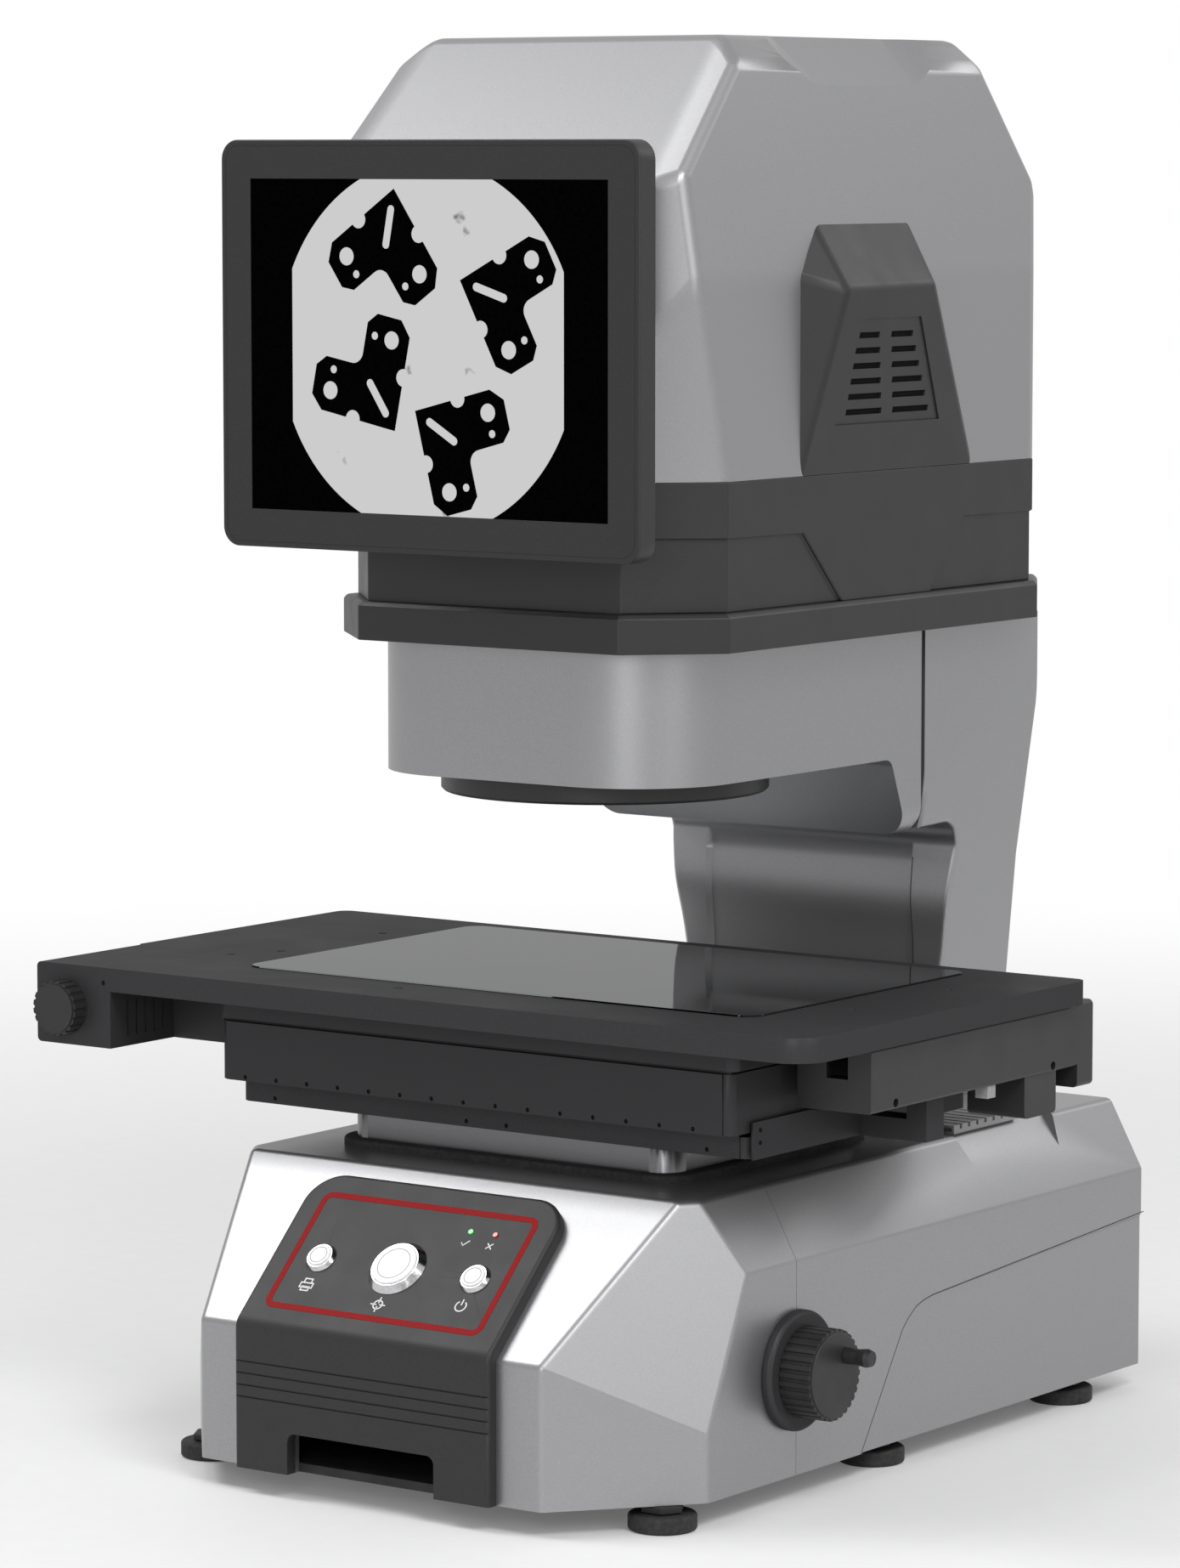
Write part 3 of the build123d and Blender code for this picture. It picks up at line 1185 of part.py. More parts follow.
def lift_guide_rods():
    rods = []
    for x in (-GUIDE_X, GUIDE_X):
        floor = BASE_BOTTOM + FLOOR_THICK
        top = PEDESTAL_BOTTOM + LIFT_UP + GUIDE_HOLD
        shaft = rod((x, 0, floor), (x, 0, top), GUIDE_RADIUS)
        foot = rod((x, 0, floor), (x, 0, floor + 10), GUIDE_RADIUS + 8)
        rods.append(chamfer((shaft + foot).edges().sort_by(Axis.Z)[-1], 1.0))
    return rods


def pedestal_gasket():
    outer = PEDESTAL_HALF_X + GASKET_GAP + GASKET_WIDTH
    body = rounded_plan(outer, PEDESTAL_HALF_Y + GASKET_GAP + GASKET_WIDTH,
                        PEDESTAL_CORNER + GASKET_WIDTH, BASE_TOP, BASE_TOP + GASKET_HEIGHT)
    top = body.edges().filter_by(lambda edge: edge.center().Z > BASE_TOP + GASKET_HEIGHT - 0.1)
    body = fillet(top, 2.0)
    return body - rounded_plan(PEDESTAL_HALF_X + GASKET_GAP, PEDESTAL_HALF_Y + GASKET_GAP,
                               PEDESTAL_CORNER + GASKET_GAP, BASE_TOP - 1, BASE_TOP + GASKET_HEIGHT + 1)


def backlight_lamp():
    """The lamp housing on its bridge across the pedestal."""
    low = PEDESTAL_BOTTOM + 8
    reach = PEDESTAL_HALF_Y - PEDESTAL_WALL
    body = block(-12, 12, -reach, reach, low, low + 6)
    body += rod((0, 0, low), (0, 0, low + 22), LAMP_HOUSE_RADIUS)
    return body - rod((0, 0, low + 12), (0, 0, low + 23), LAMP_HOUSE_RADIUS - 4)


def collimator_lens():
    low = LOWER_BOTTOM
    disc = rod((0, 0, low), (0, 0, low + 3), CONDENSER_RADIUS)
    dome = Pos(0, 0, low + 9 - CONDENSER_BULGE) * Sphere(CONDENSER_BULGE)
    return disc + (rod((0, 0, low), (0, 0, low + 9), CONDENSER_RADIUS) & dome)


def y_channel_floor():
    return MIDDLE_BOTTOM - RAIL_HEIGHT - RAIL_GAP - BLOCK_BACK


def x_rail_root():
    return PLATE_BOTTOM - BLOCK_BACK - RAIL_GAP - RAIL_HEIGHT


def lower_carriage():
    body = block(-LOWER_HALF, LOWER_HALF, LOWER_FRONT, LOWER_REAR, LOWER_BOTTOM, LOWER_TOP)
    body = fillet(body.edges().filter_by(Axis.Z), MIDDLE_ROUND)
    body -= rod((0, 0, LOWER_BOTTOM - 1), (0, 0, LOWER_TOP + 1), CONDENSER_RADIUS + GLASS_GAP)
    half = BLOCK_WIDTH / 2
    for x in (-Y_RAIL_X, Y_RAIL_X):
        body -= block(x - half, x + half, LOWER_FRONT - 1, LOWER_REAR + 1, y_channel_floor(), LOWER_TOP + 1)
    return body + y_nut_arm()


def saddle(row, rail_top, side):
    """The cross-section of a linear block that straddles its rail, as (across, height) points."""
    out = BLOCK_WIDTH / 2
    gap = RAIL_WIDTH / 2 + RAIL_GAP
    back = rail_top + side * (RAIL_GAP + BLOCK_BACK)
    crown = rail_top + side * RAIL_GAP
    open_end = rail_top - side * (RAIL_HEIGHT - BLOCK_CLEAR)
    return [(row - out, back), (row + out, back), (row + out, open_end), (row + gap, open_end),
            (row + gap, crown), (row - gap, crown), (row - gap, open_end), (row - out, open_end)]


def rail_section(row, root, side):
    """A profiled rail with waisted flanks, standing on root."""
    half = RAIL_WIDTH / 2
    tip = root + side * RAIL_HEIGHT
    return [(row - half, root), (row + half, root), (row + half, root + side * 2.0),
            (row + half - 1.5, root + side * 3.5), (row + half - 1.5, root + side * 4.5),
            (row + half, root + side * 6.0), (row + half, tip), (row - half, tip),
            (row - half, root + side * 6.0), (row - half + 1.5, root + side * 4.5),
            (row - half + 1.5, root + side * 3.5), (row - half, root + side * 2.0)]


def y_rails():
    return [front_prism(rail_section(x, MIDDLE_BOTTOM, -1), SUB_FRONT + 4, SUB_REAR - 4)
            for x in (-Y_RAIL_X, Y_RAIL_X)]


def y_blocks():
    bodies = []
    for x in (-Y_RAIL_X, Y_RAIL_X):
        for y in (-Y_BLOCK_Y, Y_BLOCK_Y):
            section = saddle(x, MIDDLE_BOTTOM - RAIL_HEIGHT, -1)
            bodies.append(front_prism(section, y - BLOCK_LENGTH / 2, y + BLOCK_LENGTH / 2))
    return bodies


def y_nut_arm():
    """The arm that carries the fixed nut of the Y screw out to the right drive box."""
    arm = block(LOWER_HALF - 1, SCREW_X + NUT_HALF, -NUT_LENGTH / 2, NUT_LENGTH / 2, LOWER_BOTTOM, LOWER_TOP)
    upright = block(SCREW_X - NUT_HALF, SCREW_X + NUT_HALF, -NUT_LENGTH / 2, NUT_LENGTH / 2, LOWER_BOTTOM,
                    SCREW_Z + NUT_HALF)
    body = arm + upright
    body -= rod((SCREW_X, -NUT_LENGTH, SCREW_Z), (SCREW_X, NUT_LENGTH, SCREW_Z), SCREW_RADIUS + SHAFT_PLAY)
    return body


# Y slide

def middle_carriage():
    body = block(-MIDDLE_HALF, MIDDLE_HALF, SUB_FRONT, SUB_REAR, MIDDLE_BOTTOM, MIDDLE_TOP)
    body = fillet(body.edges().filter_by(Axis.Z), MIDDLE_ROUND)
    body -= block(-MIDDLE_HALF + MIDDLE_WALL_X, MIDDLE_HALF - MIDDLE_WALL_X, SUB_FRONT + MIDDLE_WALL_Y,
                  SUB_REAR - MIDDLE_WALL_Y, MIDDLE_FLOOR, MIDDLE_TOP + 1)
    body -= block(-WINDOW_HALF, WINDOW_HALF, WINDOW_FRONT, WINDOW_REAR, MIDDLE_BOTTOM - 1, MIDDLE_TOP)
    body -= arm_notch(MIDDLE_TOP + 1)
    for index in range(SCREW_COUNT):
        x = (index - (SCREW_COUNT - 1) / 2) * SCREW_PITCH
        z = MIDDLE_BOTTOM + SCREW_ROW
        body -= rod((x, SUB_FRONT - 1, z), (x, SUB_FRONT + 1.2, z), SCREW_HEAD)
        body -= rod((x, SUB_FRONT - 1, z), (x, SUB_FRONT + 5, z), SCREW_HEAD / 2)
    return body + belt_clamp()


def arm_notch(top):
    """The gap in the left wall that lets the belt arm of the table pass."""
    return block(-MIDDLE_HALF - 5, -MIDDLE_HALF + MIDDLE_WALL_X + 2, ARM_FRONT - ARM_CLEAR,
                 ARM_REAR + ARM_CLEAR, LEFT_BOX_BOTTOM - ARM_CLEAR, top)


def x_guide_frame():
    body = block(-SUB_HALF, SUB_HALF, SUB_FRONT, SUB_REAR, MIDDLE_TOP, PLATE_BOTTOM - TABLE_GAP)
    body = fillet(body.edges().filter_by(Axis.Z), MIDDLE_ROUND)
    seam = block(-SUB_HALF - 1, SUB_HALF + 1, SUB_FRONT - 1, SUB_REAR + 1, MIDDLE_TOP, SUB_BOTTOM)
    seam -= block(-MIDDLE_HALF + 2, MIDDLE_HALF - 2, SUB_FRONT + 2, SUB_REAR - 2, MIDDLE_TOP - 1,
                  SUB_BOTTOM + 1)
    body -= seam
    body -= rounded_plan(FRAME_OPEN_X, (FRAME_OPEN_REAR - FRAME_OPEN_FRONT) / 2, 6.0, MIDDLE_TOP - 1,
                         PLATE_BOTTOM + 1, 0, (FRAME_OPEN_REAR + FRAME_OPEN_FRONT) / 2)
    half = BLOCK_WIDTH / 2 + RAIL_GAP
    for y in X_RAIL_ROWS:
        body -= block(-X_CHANNEL_HALF, X_CHANNEL_HALF, y - half, y + half, x_rail_root(), PLATE_BOTTOM + 1)
    return body - arm_notch(PLATE_BOTTOM + 1)


def x_rails():
    reach = X_CHANNEL_HALF - 1
    return [side_prism(rail_section(y, x_rail_root(), 1), -reach, reach) for y in X_RAIL_ROWS]


def x_blocks():
    bodies = []
    for y in X_RAIL_ROWS:
        for x in (-X_BLOCK_X, X_BLOCK_X):
            section = saddle(y, x_rail_root() + RAIL_HEIGHT, 1)
            bodies.append(side_prism(section, x - BLOCK_LENGTH / 2, x + BLOCK_LENGTH / 2))
    return bodies


def right_drive_box():
    body = block(RIGHT_BOX_LEFT, RIGHT_BOX_RIGHT, RIGHT_BOX_FRONT, RIGHT_BOX_REAR, RIGHT_BOX_BOTTOM,
                 RIGHT_BOX_TOP)
    body = fillet(body.edges().filter_by(Axis.Y), 2.0)
    cable_box = block(*CABLE_BOX_X, *CABLE_BOX_Y, CABLE_BOX_BOTTOM, RIGHT_BOX_BOTTOM + 1)
    lower = cable_box.edges().filter_by(Axis.X).filter_by(lambda edge: edge.center().Z < CABLE_BOX_BOTTOM + 1)
    body += fillet(lower, 3.0)
    web = block(MIDDLE_HALF, RIGHT_BOX_LEFT + 1, RIGHT_BOX_FRONT + 20, RIGHT_BOX_REAR - 30,
                RIGHT_BOX_BOTTOM + 2, MIDDLE_TOP - 2)
    body = body + web
    body -= block(RIGHT_BOX_LEFT + BOX_WALL, RIGHT_BOX_RIGHT - BOX_WALL, RIGHT_BOX_FRONT + BOX_WALL,
                  RIGHT_BOX_REAR + 1, RIGHT_BOX_BOTTOM + BOX_WALL, RIGHT_BOX_TOP - BOX_WALL)
    body -= block(BOX_WINDOW_LEFT, BOX_WINDOW_RIGHT, RIGHT_BOX_FRONT - 1, RIGHT_BOX_FRONT + BOX_WALL + 1,
                  BOX_WINDOW_LOW, BOX_WINDOW_HIGH)
    reach = NUT_LENGTH / 2 + Y_TRAVEL + ARM_CLEAR
    body -= block(SCREW_X - NUT_HALF - 1, SCREW_X + NUT_HALF + 1, -reach, reach, RIGHT_BOX_BOTTOM - 1,
                  RIGHT_BOX_BOTTOM + BOX_WALL + 1)
    bearing = block(SCREW_X - 10, SCREW_X + 10, RIGHT_BOX_FRONT + BOX_WALL - 1,
                    RIGHT_BOX_FRONT + BOX_WALL + 9, RIGHT_BOX_BOTTOM + 1, SCREW_Z + 9)
    bearing -= rod((SCREW_X, RIGHT_BOX_FRONT, SCREW_Z), (SCREW_X, RIGHT_BOX_FRONT + 20, SCREW_Z),
                   SCREW_RADIUS + SHAFT_PLAY)
    body += bearing
    for y in BOX_HOLES:
        body -= rod((RIGHT_BOX_RIGHT - BOX_WALL - 1, y, BOX_HOLE_Z), (RIGHT_BOX_RIGHT + 1, y, BOX_HOLE_Z),
                    BOX_HOLE)
    return body


def right_end_plate():
    body = block(RIGHT_BOX_LEFT, RIGHT_BOX_RIGHT, RIGHT_BOX_REAR, END_PLATE_REAR, END_PLATE_BOTTOM,
                 END_PLATE_TOP)
    body = fillet(body.edges().filter_by(Axis.Y), 3.0)
    return body - rod((SCREW_X, RIGHT_BOX_REAR - 1, SCREW_Z), (SCREW_X, END_PLATE_REAR + 1, SCREW_Z),
                      SCREW_RADIUS + SHAFT_PLAY)


def y_motor():
    half = Y_MOTOR_SIZE / 2
    body = block(SCREW_X - half, SCREW_X + half, Y_MOTOR_FRONT, RIGHT_BOX_REAR, RIGHT_BOX_BOTTOM + BOX_WALL,
                 RIGHT_BOX_TOP - BOX_WALL)
    body = chamfer(body.edges().filter_by(Axis.Y), 3.0)
    return body - rod((SCREW_X, Y_MOTOR_FRONT - 1, SCREW_Z), (SCREW_X, RIGHT_BOX_REAR + 1, SCREW_Z),
                      SCREW_RADIUS + SHAFT_PLAY)


def knob(centre_x, centre_z, y0, y1, radius, flutes):
    """A fluted knob between two Y planes, with a plain raised face on its outer end."""
    away = 1 if y1 > y0 else -1
    plane = Plane(origin=(centre_x, y0, centre_z), x_dir=(1, 0, 0), z_dir=(0, away, 0))
    flute = radius * pi / flutes / 2.4
    body = fluted_disc(plane, radius, abs(y1 - y0) - KNOB_FACE, flutes, flute)
    return body + rod((centre_x, y1 - 2 * away * KNOB_FACE, centre_z), (centre_x, y1, centre_z),
                      radius - flute - KNOB_FACE)


def y_screw():
    start = RIGHT_BOX_FRONT + BOX_WALL + SHAFT_PLAY + 1
    body = rod((SCREW_X, start, SCREW_Z), (SCREW_X, END_PLATE_REAR + KNOB_GAP + 2, SCREW_Z), SCREW_RADIUS)
    return body + knob(SCREW_X, SCREW_Z, END_PLATE_REAR + KNOB_GAP,
                       END_PLATE_REAR + KNOB_GAP + RIGHT_KNOB_LENGTH, RIGHT_KNOB_RADIUS, KNOB_FLUTES)


def belt_clamp():
    """The bracket on the middle carriage whose jaw holds the lower run of the belt."""
    low = KNOB_Z - PULLEY_RADIUS - BELT_THICK
    rear = BELT_FRONT + BELT_WIDTH
    half = CLAMP_WIDTH / 2
    body = block(CLAMP_X - half, CLAMP_X + half, BELT_FRONT - 2, rear + 5, MIDDLE_FLOOR, low + BELT_THICK + 5)
    return body - block(CLAMP_X - half - 1, CLAMP_X + half + 1, BELT_FRONT - 3, rear + JAW_GAP, low - JAW_GAP,
                        low + BELT_THICK + JAW_GAP)


def limit_sensor():
    return block(*SENSOR_X, *SENSOR_Y, SENSOR_BOTTOM, RIGHT_BOX_BOTTOM)


# X slide

def table_outline(z0, z1):
    body = block(TABLE_LEFT, TABLE_RIGHT, TABLE_FRONT, TABLE_REAR, z0, z1)
    body += block(LEFT_BOX_LEFT, TABLE_LEFT, LEFT_BOX_REAR, TABLE_REAR, z0, z1)
    uprights = body.edges().filter_by(Axis.Z)
    front_right = uprights.filter_by(lambda edge: edge.center().X > 0 and edge.center().Y < 0)
    body = fillet(front_right, TABLE_CORNER)
    rear = body.edges().filter_by(Axis.Z).filter_by(lambda edge: edge.center().Y > TABLE_REAR - 1)
    return fillet(rear, TABLE_BACK_CORNER)


def table_plate():
    body = table_outline(PLATE_BOTTOM, STAGE_TOP)
    seat = STAGE_TOP + GLASS_PROUD - GLASS_THICK
    body -= rounded_plan(GLASS_HALF_X + GLASS_GAP, GLASS_HALF_Y + GLASS_GAP, GLASS_CORNER + GLASS_GAP, seat,
                         STAGE_TOP + 1)
    body -= rounded_plan(APERTURE_HALF_X, APERTURE_HALF_Y, GLASS_CORNER, PLATE_BOTTOM - 1, STAGE_TOP)
    for x, y in PLATE_HOLES:
        body -= rod((x, y, PLATE_BOTTOM - 1), (x, y, STAGE_TOP + 1), PLATE_HOLE)
    return body + idler_ears()


def stage_glass():
    top = STAGE_TOP + GLASS_PROUD
    body = rounded_plan(GLASS_HALF_X, GLASS_HALF_Y, GLASS_CORNER, top - GLASS_THICK, top)
    rim = body.edges().filter_by(lambda edge: edge.center().Z > top - 0.1)
    return chamfer(rim, 0.6)


def left_drive_box():
    body = block(LEFT_BOX_LEFT, TABLE_LEFT, TABLE_FRONT, LEFT_BOX_REAR, LEFT_BOX_BOTTOM, STAGE_TOP)
    left = body.edges().filter_by(Axis.Y).filter_by(lambda edge: edge.center().X < LEFT_BOX_LEFT + 1)
    body = fillet(left, 3.0)
    arm = block(TABLE_LEFT - 1, ARM_END, ARM_FRONT, ARM_REAR, LEFT_BOX_BOTTOM, PLATE_BOTTOM)
    body = body + arm
    body -= block(LEFT_BOX_LEFT + BOX_WALL, TABLE_LEFT - BOX_WALL, TABLE_FRONT + BOX_WALL,
                  LEFT_BOX_REAR - BOX_WALL, LEFT_BOX_BOTTOM + BOX_WALL, STAGE_TOP - BOX_WALL)
    body -= block(TABLE_LEFT - BOX_WALL - 1, ARM_END + 1, ARM_FRONT + ARM_WALL, ARM_REAR - ARM_WALL,
                  LEFT_BOX_BOTTOM + BOX_WALL, PLATE_BOTTOM + 1)
    body += bearing_wall()
    for index in range(LOUVRES):
        start = TABLE_FRONT + LOUVRE_START + index * LOUVRE_PITCH
        body -= block(TABLE_LEFT - BOX_WALL - 1, TABLE_LEFT + 1, start, start + LOUVRE_WIDTH,
                      LEFT_BOX_BOTTOM + LOUVRE_LAND, PLATE_BOTTOM - LOUVRE_LAND)
    body -= rod((KNOB_X, TABLE_FRONT - 1, KNOB_Z), (KNOB_X, LEFT_BOX_REAR - 8, KNOB_Z),
                SPINDLE_RADIUS + SHAFT_PLAY)
    body -= rod((LEFT_HOLE_X, TABLE_FRONT - 1, LEFT_HOLE_Z), (LEFT_HOLE_X, TABLE_FRONT + 2, LEFT_HOLE_Z),
                LEFT_HOLE)
    return body


def bearing_wall():
    start = BELT_FRONT + BELT_WIDTH + 3
    return block(LEFT_BOX_LEFT + 1, TABLE_LEFT - 1, start, start + 4, LEFT_BOX_BOTTOM + 1, STAGE_TOP - 1)


def x_motor():
    half = MOTOR_SIZE / 2
    body = block(KNOB_X - half, KNOB_X + half, TABLE_FRONT + BOX_WALL, X_MOTOR_REAR, KNOB_Z - half,
                 KNOB_Z + half)
    body = chamfer(body.edges().filter_by(Axis.Y), 4.0)
    foot = block(KNOB_X - half + 2, KNOB_X + half - 2, TABLE_FRONT + BOX_WALL, X_MOTOR_REAR,
                 LEFT_BOX_BOTTOM + BOX_WALL, KNOB_Z - half + 1)
    body = body + foot
    return body - rod((KNOB_X, TABLE_FRONT, KNOB_Z), (KNOB_X, X_MOTOR_REAR + 1, KNOB_Z),
                      SPINDLE_RADIUS + SHAFT_PLAY)


def x_knob():
    rear = BELT_FRONT + BELT_WIDTH
    body = rod((KNOB_X, TABLE_FRONT - KNOB_GAP - 2, KNOB_Z), (KNOB_X, rear + 8, KNOB_Z), SPINDLE_RADIUS)
    body += knob(KNOB_X, KNOB_Z, TABLE_FRONT - KNOB_GAP, TABLE_FRONT - KNOB_GAP - KNOB_LENGTH, KNOB_RADIUS,
                 KNOB_FLUTES)
    pulley = rod((KNOB_X, BELT_FRONT - PULLEY_RIM, KNOB_Z), (KNOB_X, rear + PULLEY_RIM, KNOB_Z),
                 PULLEY_RADIUS - BELT_PLAY)
    return body + pulley


def belt_loop(radius, y0, y1):
    """The stadium around both pulleys, between two Y planes."""
    left = rod((KNOB_X, y0, KNOB_Z), (KNOB_X, y1, KNOB_Z), radius)
    right = rod((IDLER_X, y0, KNOB_Z), (IDLER_X, y1, KNOB_Z), radius)
    return left + right + block(KNOB_X, IDLER_X, y0, y1, KNOB_Z - radius, KNOB_Z + radius)


def x_belt():
    rear = BELT_FRONT + BELT_WIDTH
    return (belt_loop(PULLEY_RADIUS + BELT_THICK, BELT_FRONT, rear)
            - belt_loop(PULLEY_RADIUS, BELT_FRONT - 1, rear + 1))


def idler_ears():
    """Two ears under the table plate that carry the idler between them."""
    front = BELT_FRONT - PULLEY_RIM - EAR_GAP
    rear = BELT_FRONT + BELT_WIDTH + PULLEY_RIM + EAR_GAP
    ears = []
    for y0, y1 in ((front - EAR_THICK, front), (rear, rear + EAR_THICK)):
        ear = block(IDLER_X - EAR_HALF, IDLER_X + EAR_HALF, y0, y1, KNOB_Z - EAR_HALF, PLATE_BOTTOM + 1)
        bore = rod((IDLER_X, y0 - 1, KNOB_Z), (IDLER_X, y1 + 1, KNOB_Z), SPINDLE_RADIUS + SHAFT_PLAY)
        ears.append(ear - bore)
    return ears[0] + ears[1]


def x_idler():
    front = BELT_FRONT - PULLEY_RIM
    rear = BELT_FRONT + BELT_WIDTH + PULLEY_RIM
    body = rod((IDLER_X, front, KNOB_Z), (IDLER_X, rear, KNOB_Z), PULLEY_RADIUS - BELT_PLAY)
    pin = EAR_GAP + EAR_THICK
    return body + rod((IDLER_X, front - pin, KNOB_Z), (IDLER_X, rear + pin, KNOB_Z), SPINDLE_RADIUS)


def cable_chain():
    """A flat row of hollow chain links on top of the base, with the foot plate that holds its front end."""
    left = CHAIN_X - CHAIN_HALF
    right = CHAIN_X + CHAIN_HALF
    end = CHAIN_START + CHAIN_LINKS * CHAIN_PITCH
    top = BASE_TOP + CHAIN_HEIGHT
    body = block(left, right, CHAIN_START, end, BASE_TOP, top)
    body -= block(left + CHAIN_WALL, right - CHAIN_WALL, CHAIN_START - 1, end + 1, BASE_TOP + CHAIN_WALL,
                  top - CHAIN_WALL)
    for index in range(CHAIN_LINKS):
        y = CHAIN_START + (index + 1) * CHAIN_PITCH
        body -= block(left + CHAIN_HALF / 2, right + 1, y - CHAIN_GAP, y, top - CHAIN_WALL - 1, top + 1)
    foot = block(left, CHAIN_X, CHAIN_FOOT_START, CHAIN_START + 1, BASE_TOP, BASE_TOP + CHAIN_FOOT_THICK)
    return body + foot


# Rear ports

def rear_port_panel():
    half = PORT_HALF - SEAT_GAP
    body = block(-half, half, BASE_REAR - BASE_WALL, BASE_REAR - BASE_WALL + PORT_THICK, PORT_LOW + SEAT_GAP,
                 PORT_HIGH - SEAT_GAP)
    body -= block(INLET_X - INLET_HALF - PORT_FIT, INLET_X + INLET_HALF + PORT_FIT, BASE_REAR - 10,
                  BASE_REAR + 1, INLET_Z - INLET_RISE - PORT_FIT, INLET_Z + INLET_RISE + PORT_FIT)
    for x in PORT_SLOTS:
        body -= block(x - 7, x + 7, BASE_REAR - 10, BASE_REAR + 1, INLET_Z - 4, INLET_Z + 4)
    return body


def power_inlet():
    """A three-pin appliance inlet with its flange, set into the rear panel."""
    back = BASE_REAR - BASE_WALL + PORT_THICK
    flange = block(INLET_X - INLET_HALF - 4, INLET_X + INLET_HALF + 4, back, back + 2,
                   INLET_Z - INLET_RISE - 3, INLET_Z + INLET_RISE + 3)
    flange = fillet(flange.edges().filter_by(Axis.Y), 2.0)
    case = block(INLET_X - INLET_HALF, INLET_X + INLET_HALF, back - INLET_DEPTH, back + 2,
                 INLET_Z - INLET_RISE, INLET_Z + INLET_RISE)
    well = block(INLET_X - INLET_HALF + 1.5, INLET_X + INLET_HALF - 1.5, back - INLET_DEPTH + 2, back + 3,
                 INLET_Z - INLET_RISE + 1.5, INLET_Z + INLET_RISE - 1.5)
    upper = well.edges().filter_by(Axis.Y).filter_by(lambda edge: edge.center().Z > INLET_Z)
    body = flange + case - chamfer(upper, 4.0)
    for x, z in ((-7, -2), (0, 2), (7, -2)):
        body += block(INLET_X + x - 1, INLET_X + x + 1, back - INLET_DEPTH + 1, back - 2, INLET_Z + z - 2,
                      INLET_Z + z + 2)
    return body


# The whole machine

cover = base_cover()
column = column_casting()
nodes = {
    "base_plate": base_plate(),
    "base_front_cover": base_front_cover(cover),
    "base_rear_cover": base_rear_cover(cover),
    "rubber_feet": rubber_feet(),
    "front_trim": front_trim(),
    "control_border": control_border(),
    "button_bezels": button_bezels(),
    "status_lamps": status_lamps(),
    "handwheel_flange": handwheel_flange(),
    "shaft_bearing_blocks": shaft_bearings(),
    "rear_port_panel": rear_port_panel(),
    "power_inlet": power_inlet(),
    "column_casting": column,
    "neck_panel": neck_panel(),
    "lens_housing": lens_housing(),
    "ring_light_housing": ring_light_housing(),
    "ring_light_diffuser": ring_light_diffuser(),
    "objective_lens": objective_lens(),
    "lens_barrel": lens_barrel(),
    "camera_body": camera_body(),
    "head_lip": head_lip(),
    "head_belt": head_belt(),
    "head_cover": head_cover(),
    "vent_covers": vent_covers(),
    "display_housing": display_housing(),
    "display_glass": display_glass(),
    "display_bracket": display_bracket(),
    "lift_guide_rods": lift_guide_rods(),
    "pedestal_gasket": pedestal_gasket(),
    "cable_chain": cable_chain(),
    "pedestal": pedestal(),
    "lift_rack": lift_rack(),
    "backlight_lamp": backlight_lamp(),
    "collimator_lens": collimator_lens(),
    "lower_carriage": lower_carriage(),
    "y_blocks": y_blocks(),
    "middle_carriage": middle_carriage(),
    "x_guide_frame": x_guide_frame(),
    "y_rails": y_rails(),
    "x_rails": x_rails(),
    "right_drive_box": right_drive_box(),
    "right_end_plate": right_end_plate(),
    "y_motor": y_motor(),
    "limit_sensor": limit_sensor(),
    "table_plate": table_plate(),
    "stage_glass": stage_glass(),
    "x_blocks": x_blocks(),
    "left_drive_box": left_drive_box(),
    "x_motor": x_motor(),
    "x_belt": x_belt(),
    "handwheel": handwheel(),
    "handwheel_shaft": handwheel_shaft(),
    "crank_grip": crank_grip(),
    "x_knob": x_knob(),
    "x_idler": x_idler(),
    "y_screw": y_screw(),
}
for name, x, cap, bezel, height in buttons():
    nodes["button_" + name] = button_cap(x, cap, height)

solids = {name: shape if isinstance(shape, list) else [shape] for name, shape in nodes.items()}
whole = Compound(children=[Part(solid.wrapped) for group in solids.values() for solid in group])
box = whole.bounding_box()
shift = Pos(-(box.min.X + box.max.X) / 2, -(box.min.Y + box.max.Y) / 2, -box.min.Z)
for name, group in solids.items():
    export_step(Compound(children=[shift * solid for solid in group]), "parts/" + name + ".step")
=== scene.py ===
import math

import bmesh
import bpy
from mathutils import Matrix, Vector


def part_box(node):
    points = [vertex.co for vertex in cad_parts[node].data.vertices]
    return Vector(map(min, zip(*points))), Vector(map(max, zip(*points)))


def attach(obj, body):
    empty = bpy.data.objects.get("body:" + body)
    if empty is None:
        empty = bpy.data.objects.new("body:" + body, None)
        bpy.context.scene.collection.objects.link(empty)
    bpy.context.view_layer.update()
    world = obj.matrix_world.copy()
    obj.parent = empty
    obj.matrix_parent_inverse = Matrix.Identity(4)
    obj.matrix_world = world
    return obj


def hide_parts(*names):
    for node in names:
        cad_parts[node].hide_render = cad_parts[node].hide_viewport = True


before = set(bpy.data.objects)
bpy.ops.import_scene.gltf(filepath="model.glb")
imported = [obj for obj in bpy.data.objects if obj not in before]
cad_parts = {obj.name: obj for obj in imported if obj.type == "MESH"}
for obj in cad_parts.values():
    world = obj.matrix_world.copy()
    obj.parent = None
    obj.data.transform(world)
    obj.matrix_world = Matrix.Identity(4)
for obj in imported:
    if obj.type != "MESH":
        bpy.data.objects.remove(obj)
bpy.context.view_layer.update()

# Camera
# A long lens at the photograph's viewing angle: from the right of the front, a little above the stage.
camera = bpy.data.objects.new("camera", bpy.data.cameras.new("camera"))
bpy.context.scene.collection.objects.link(camera)
camera.location = (2.00825, -2.81265, 0.7448)
camera.rotation_euler = Vector((-0.58128, 0.80687, -0.10531)).to_track_quat("-Z", "Y").to_euler()
camera.data.lens = 181.82
camera.data.sensor_width = 36.0
camera.data.sensor_fit = "HORIZONTAL"
bpy.context.scene.camera = camera
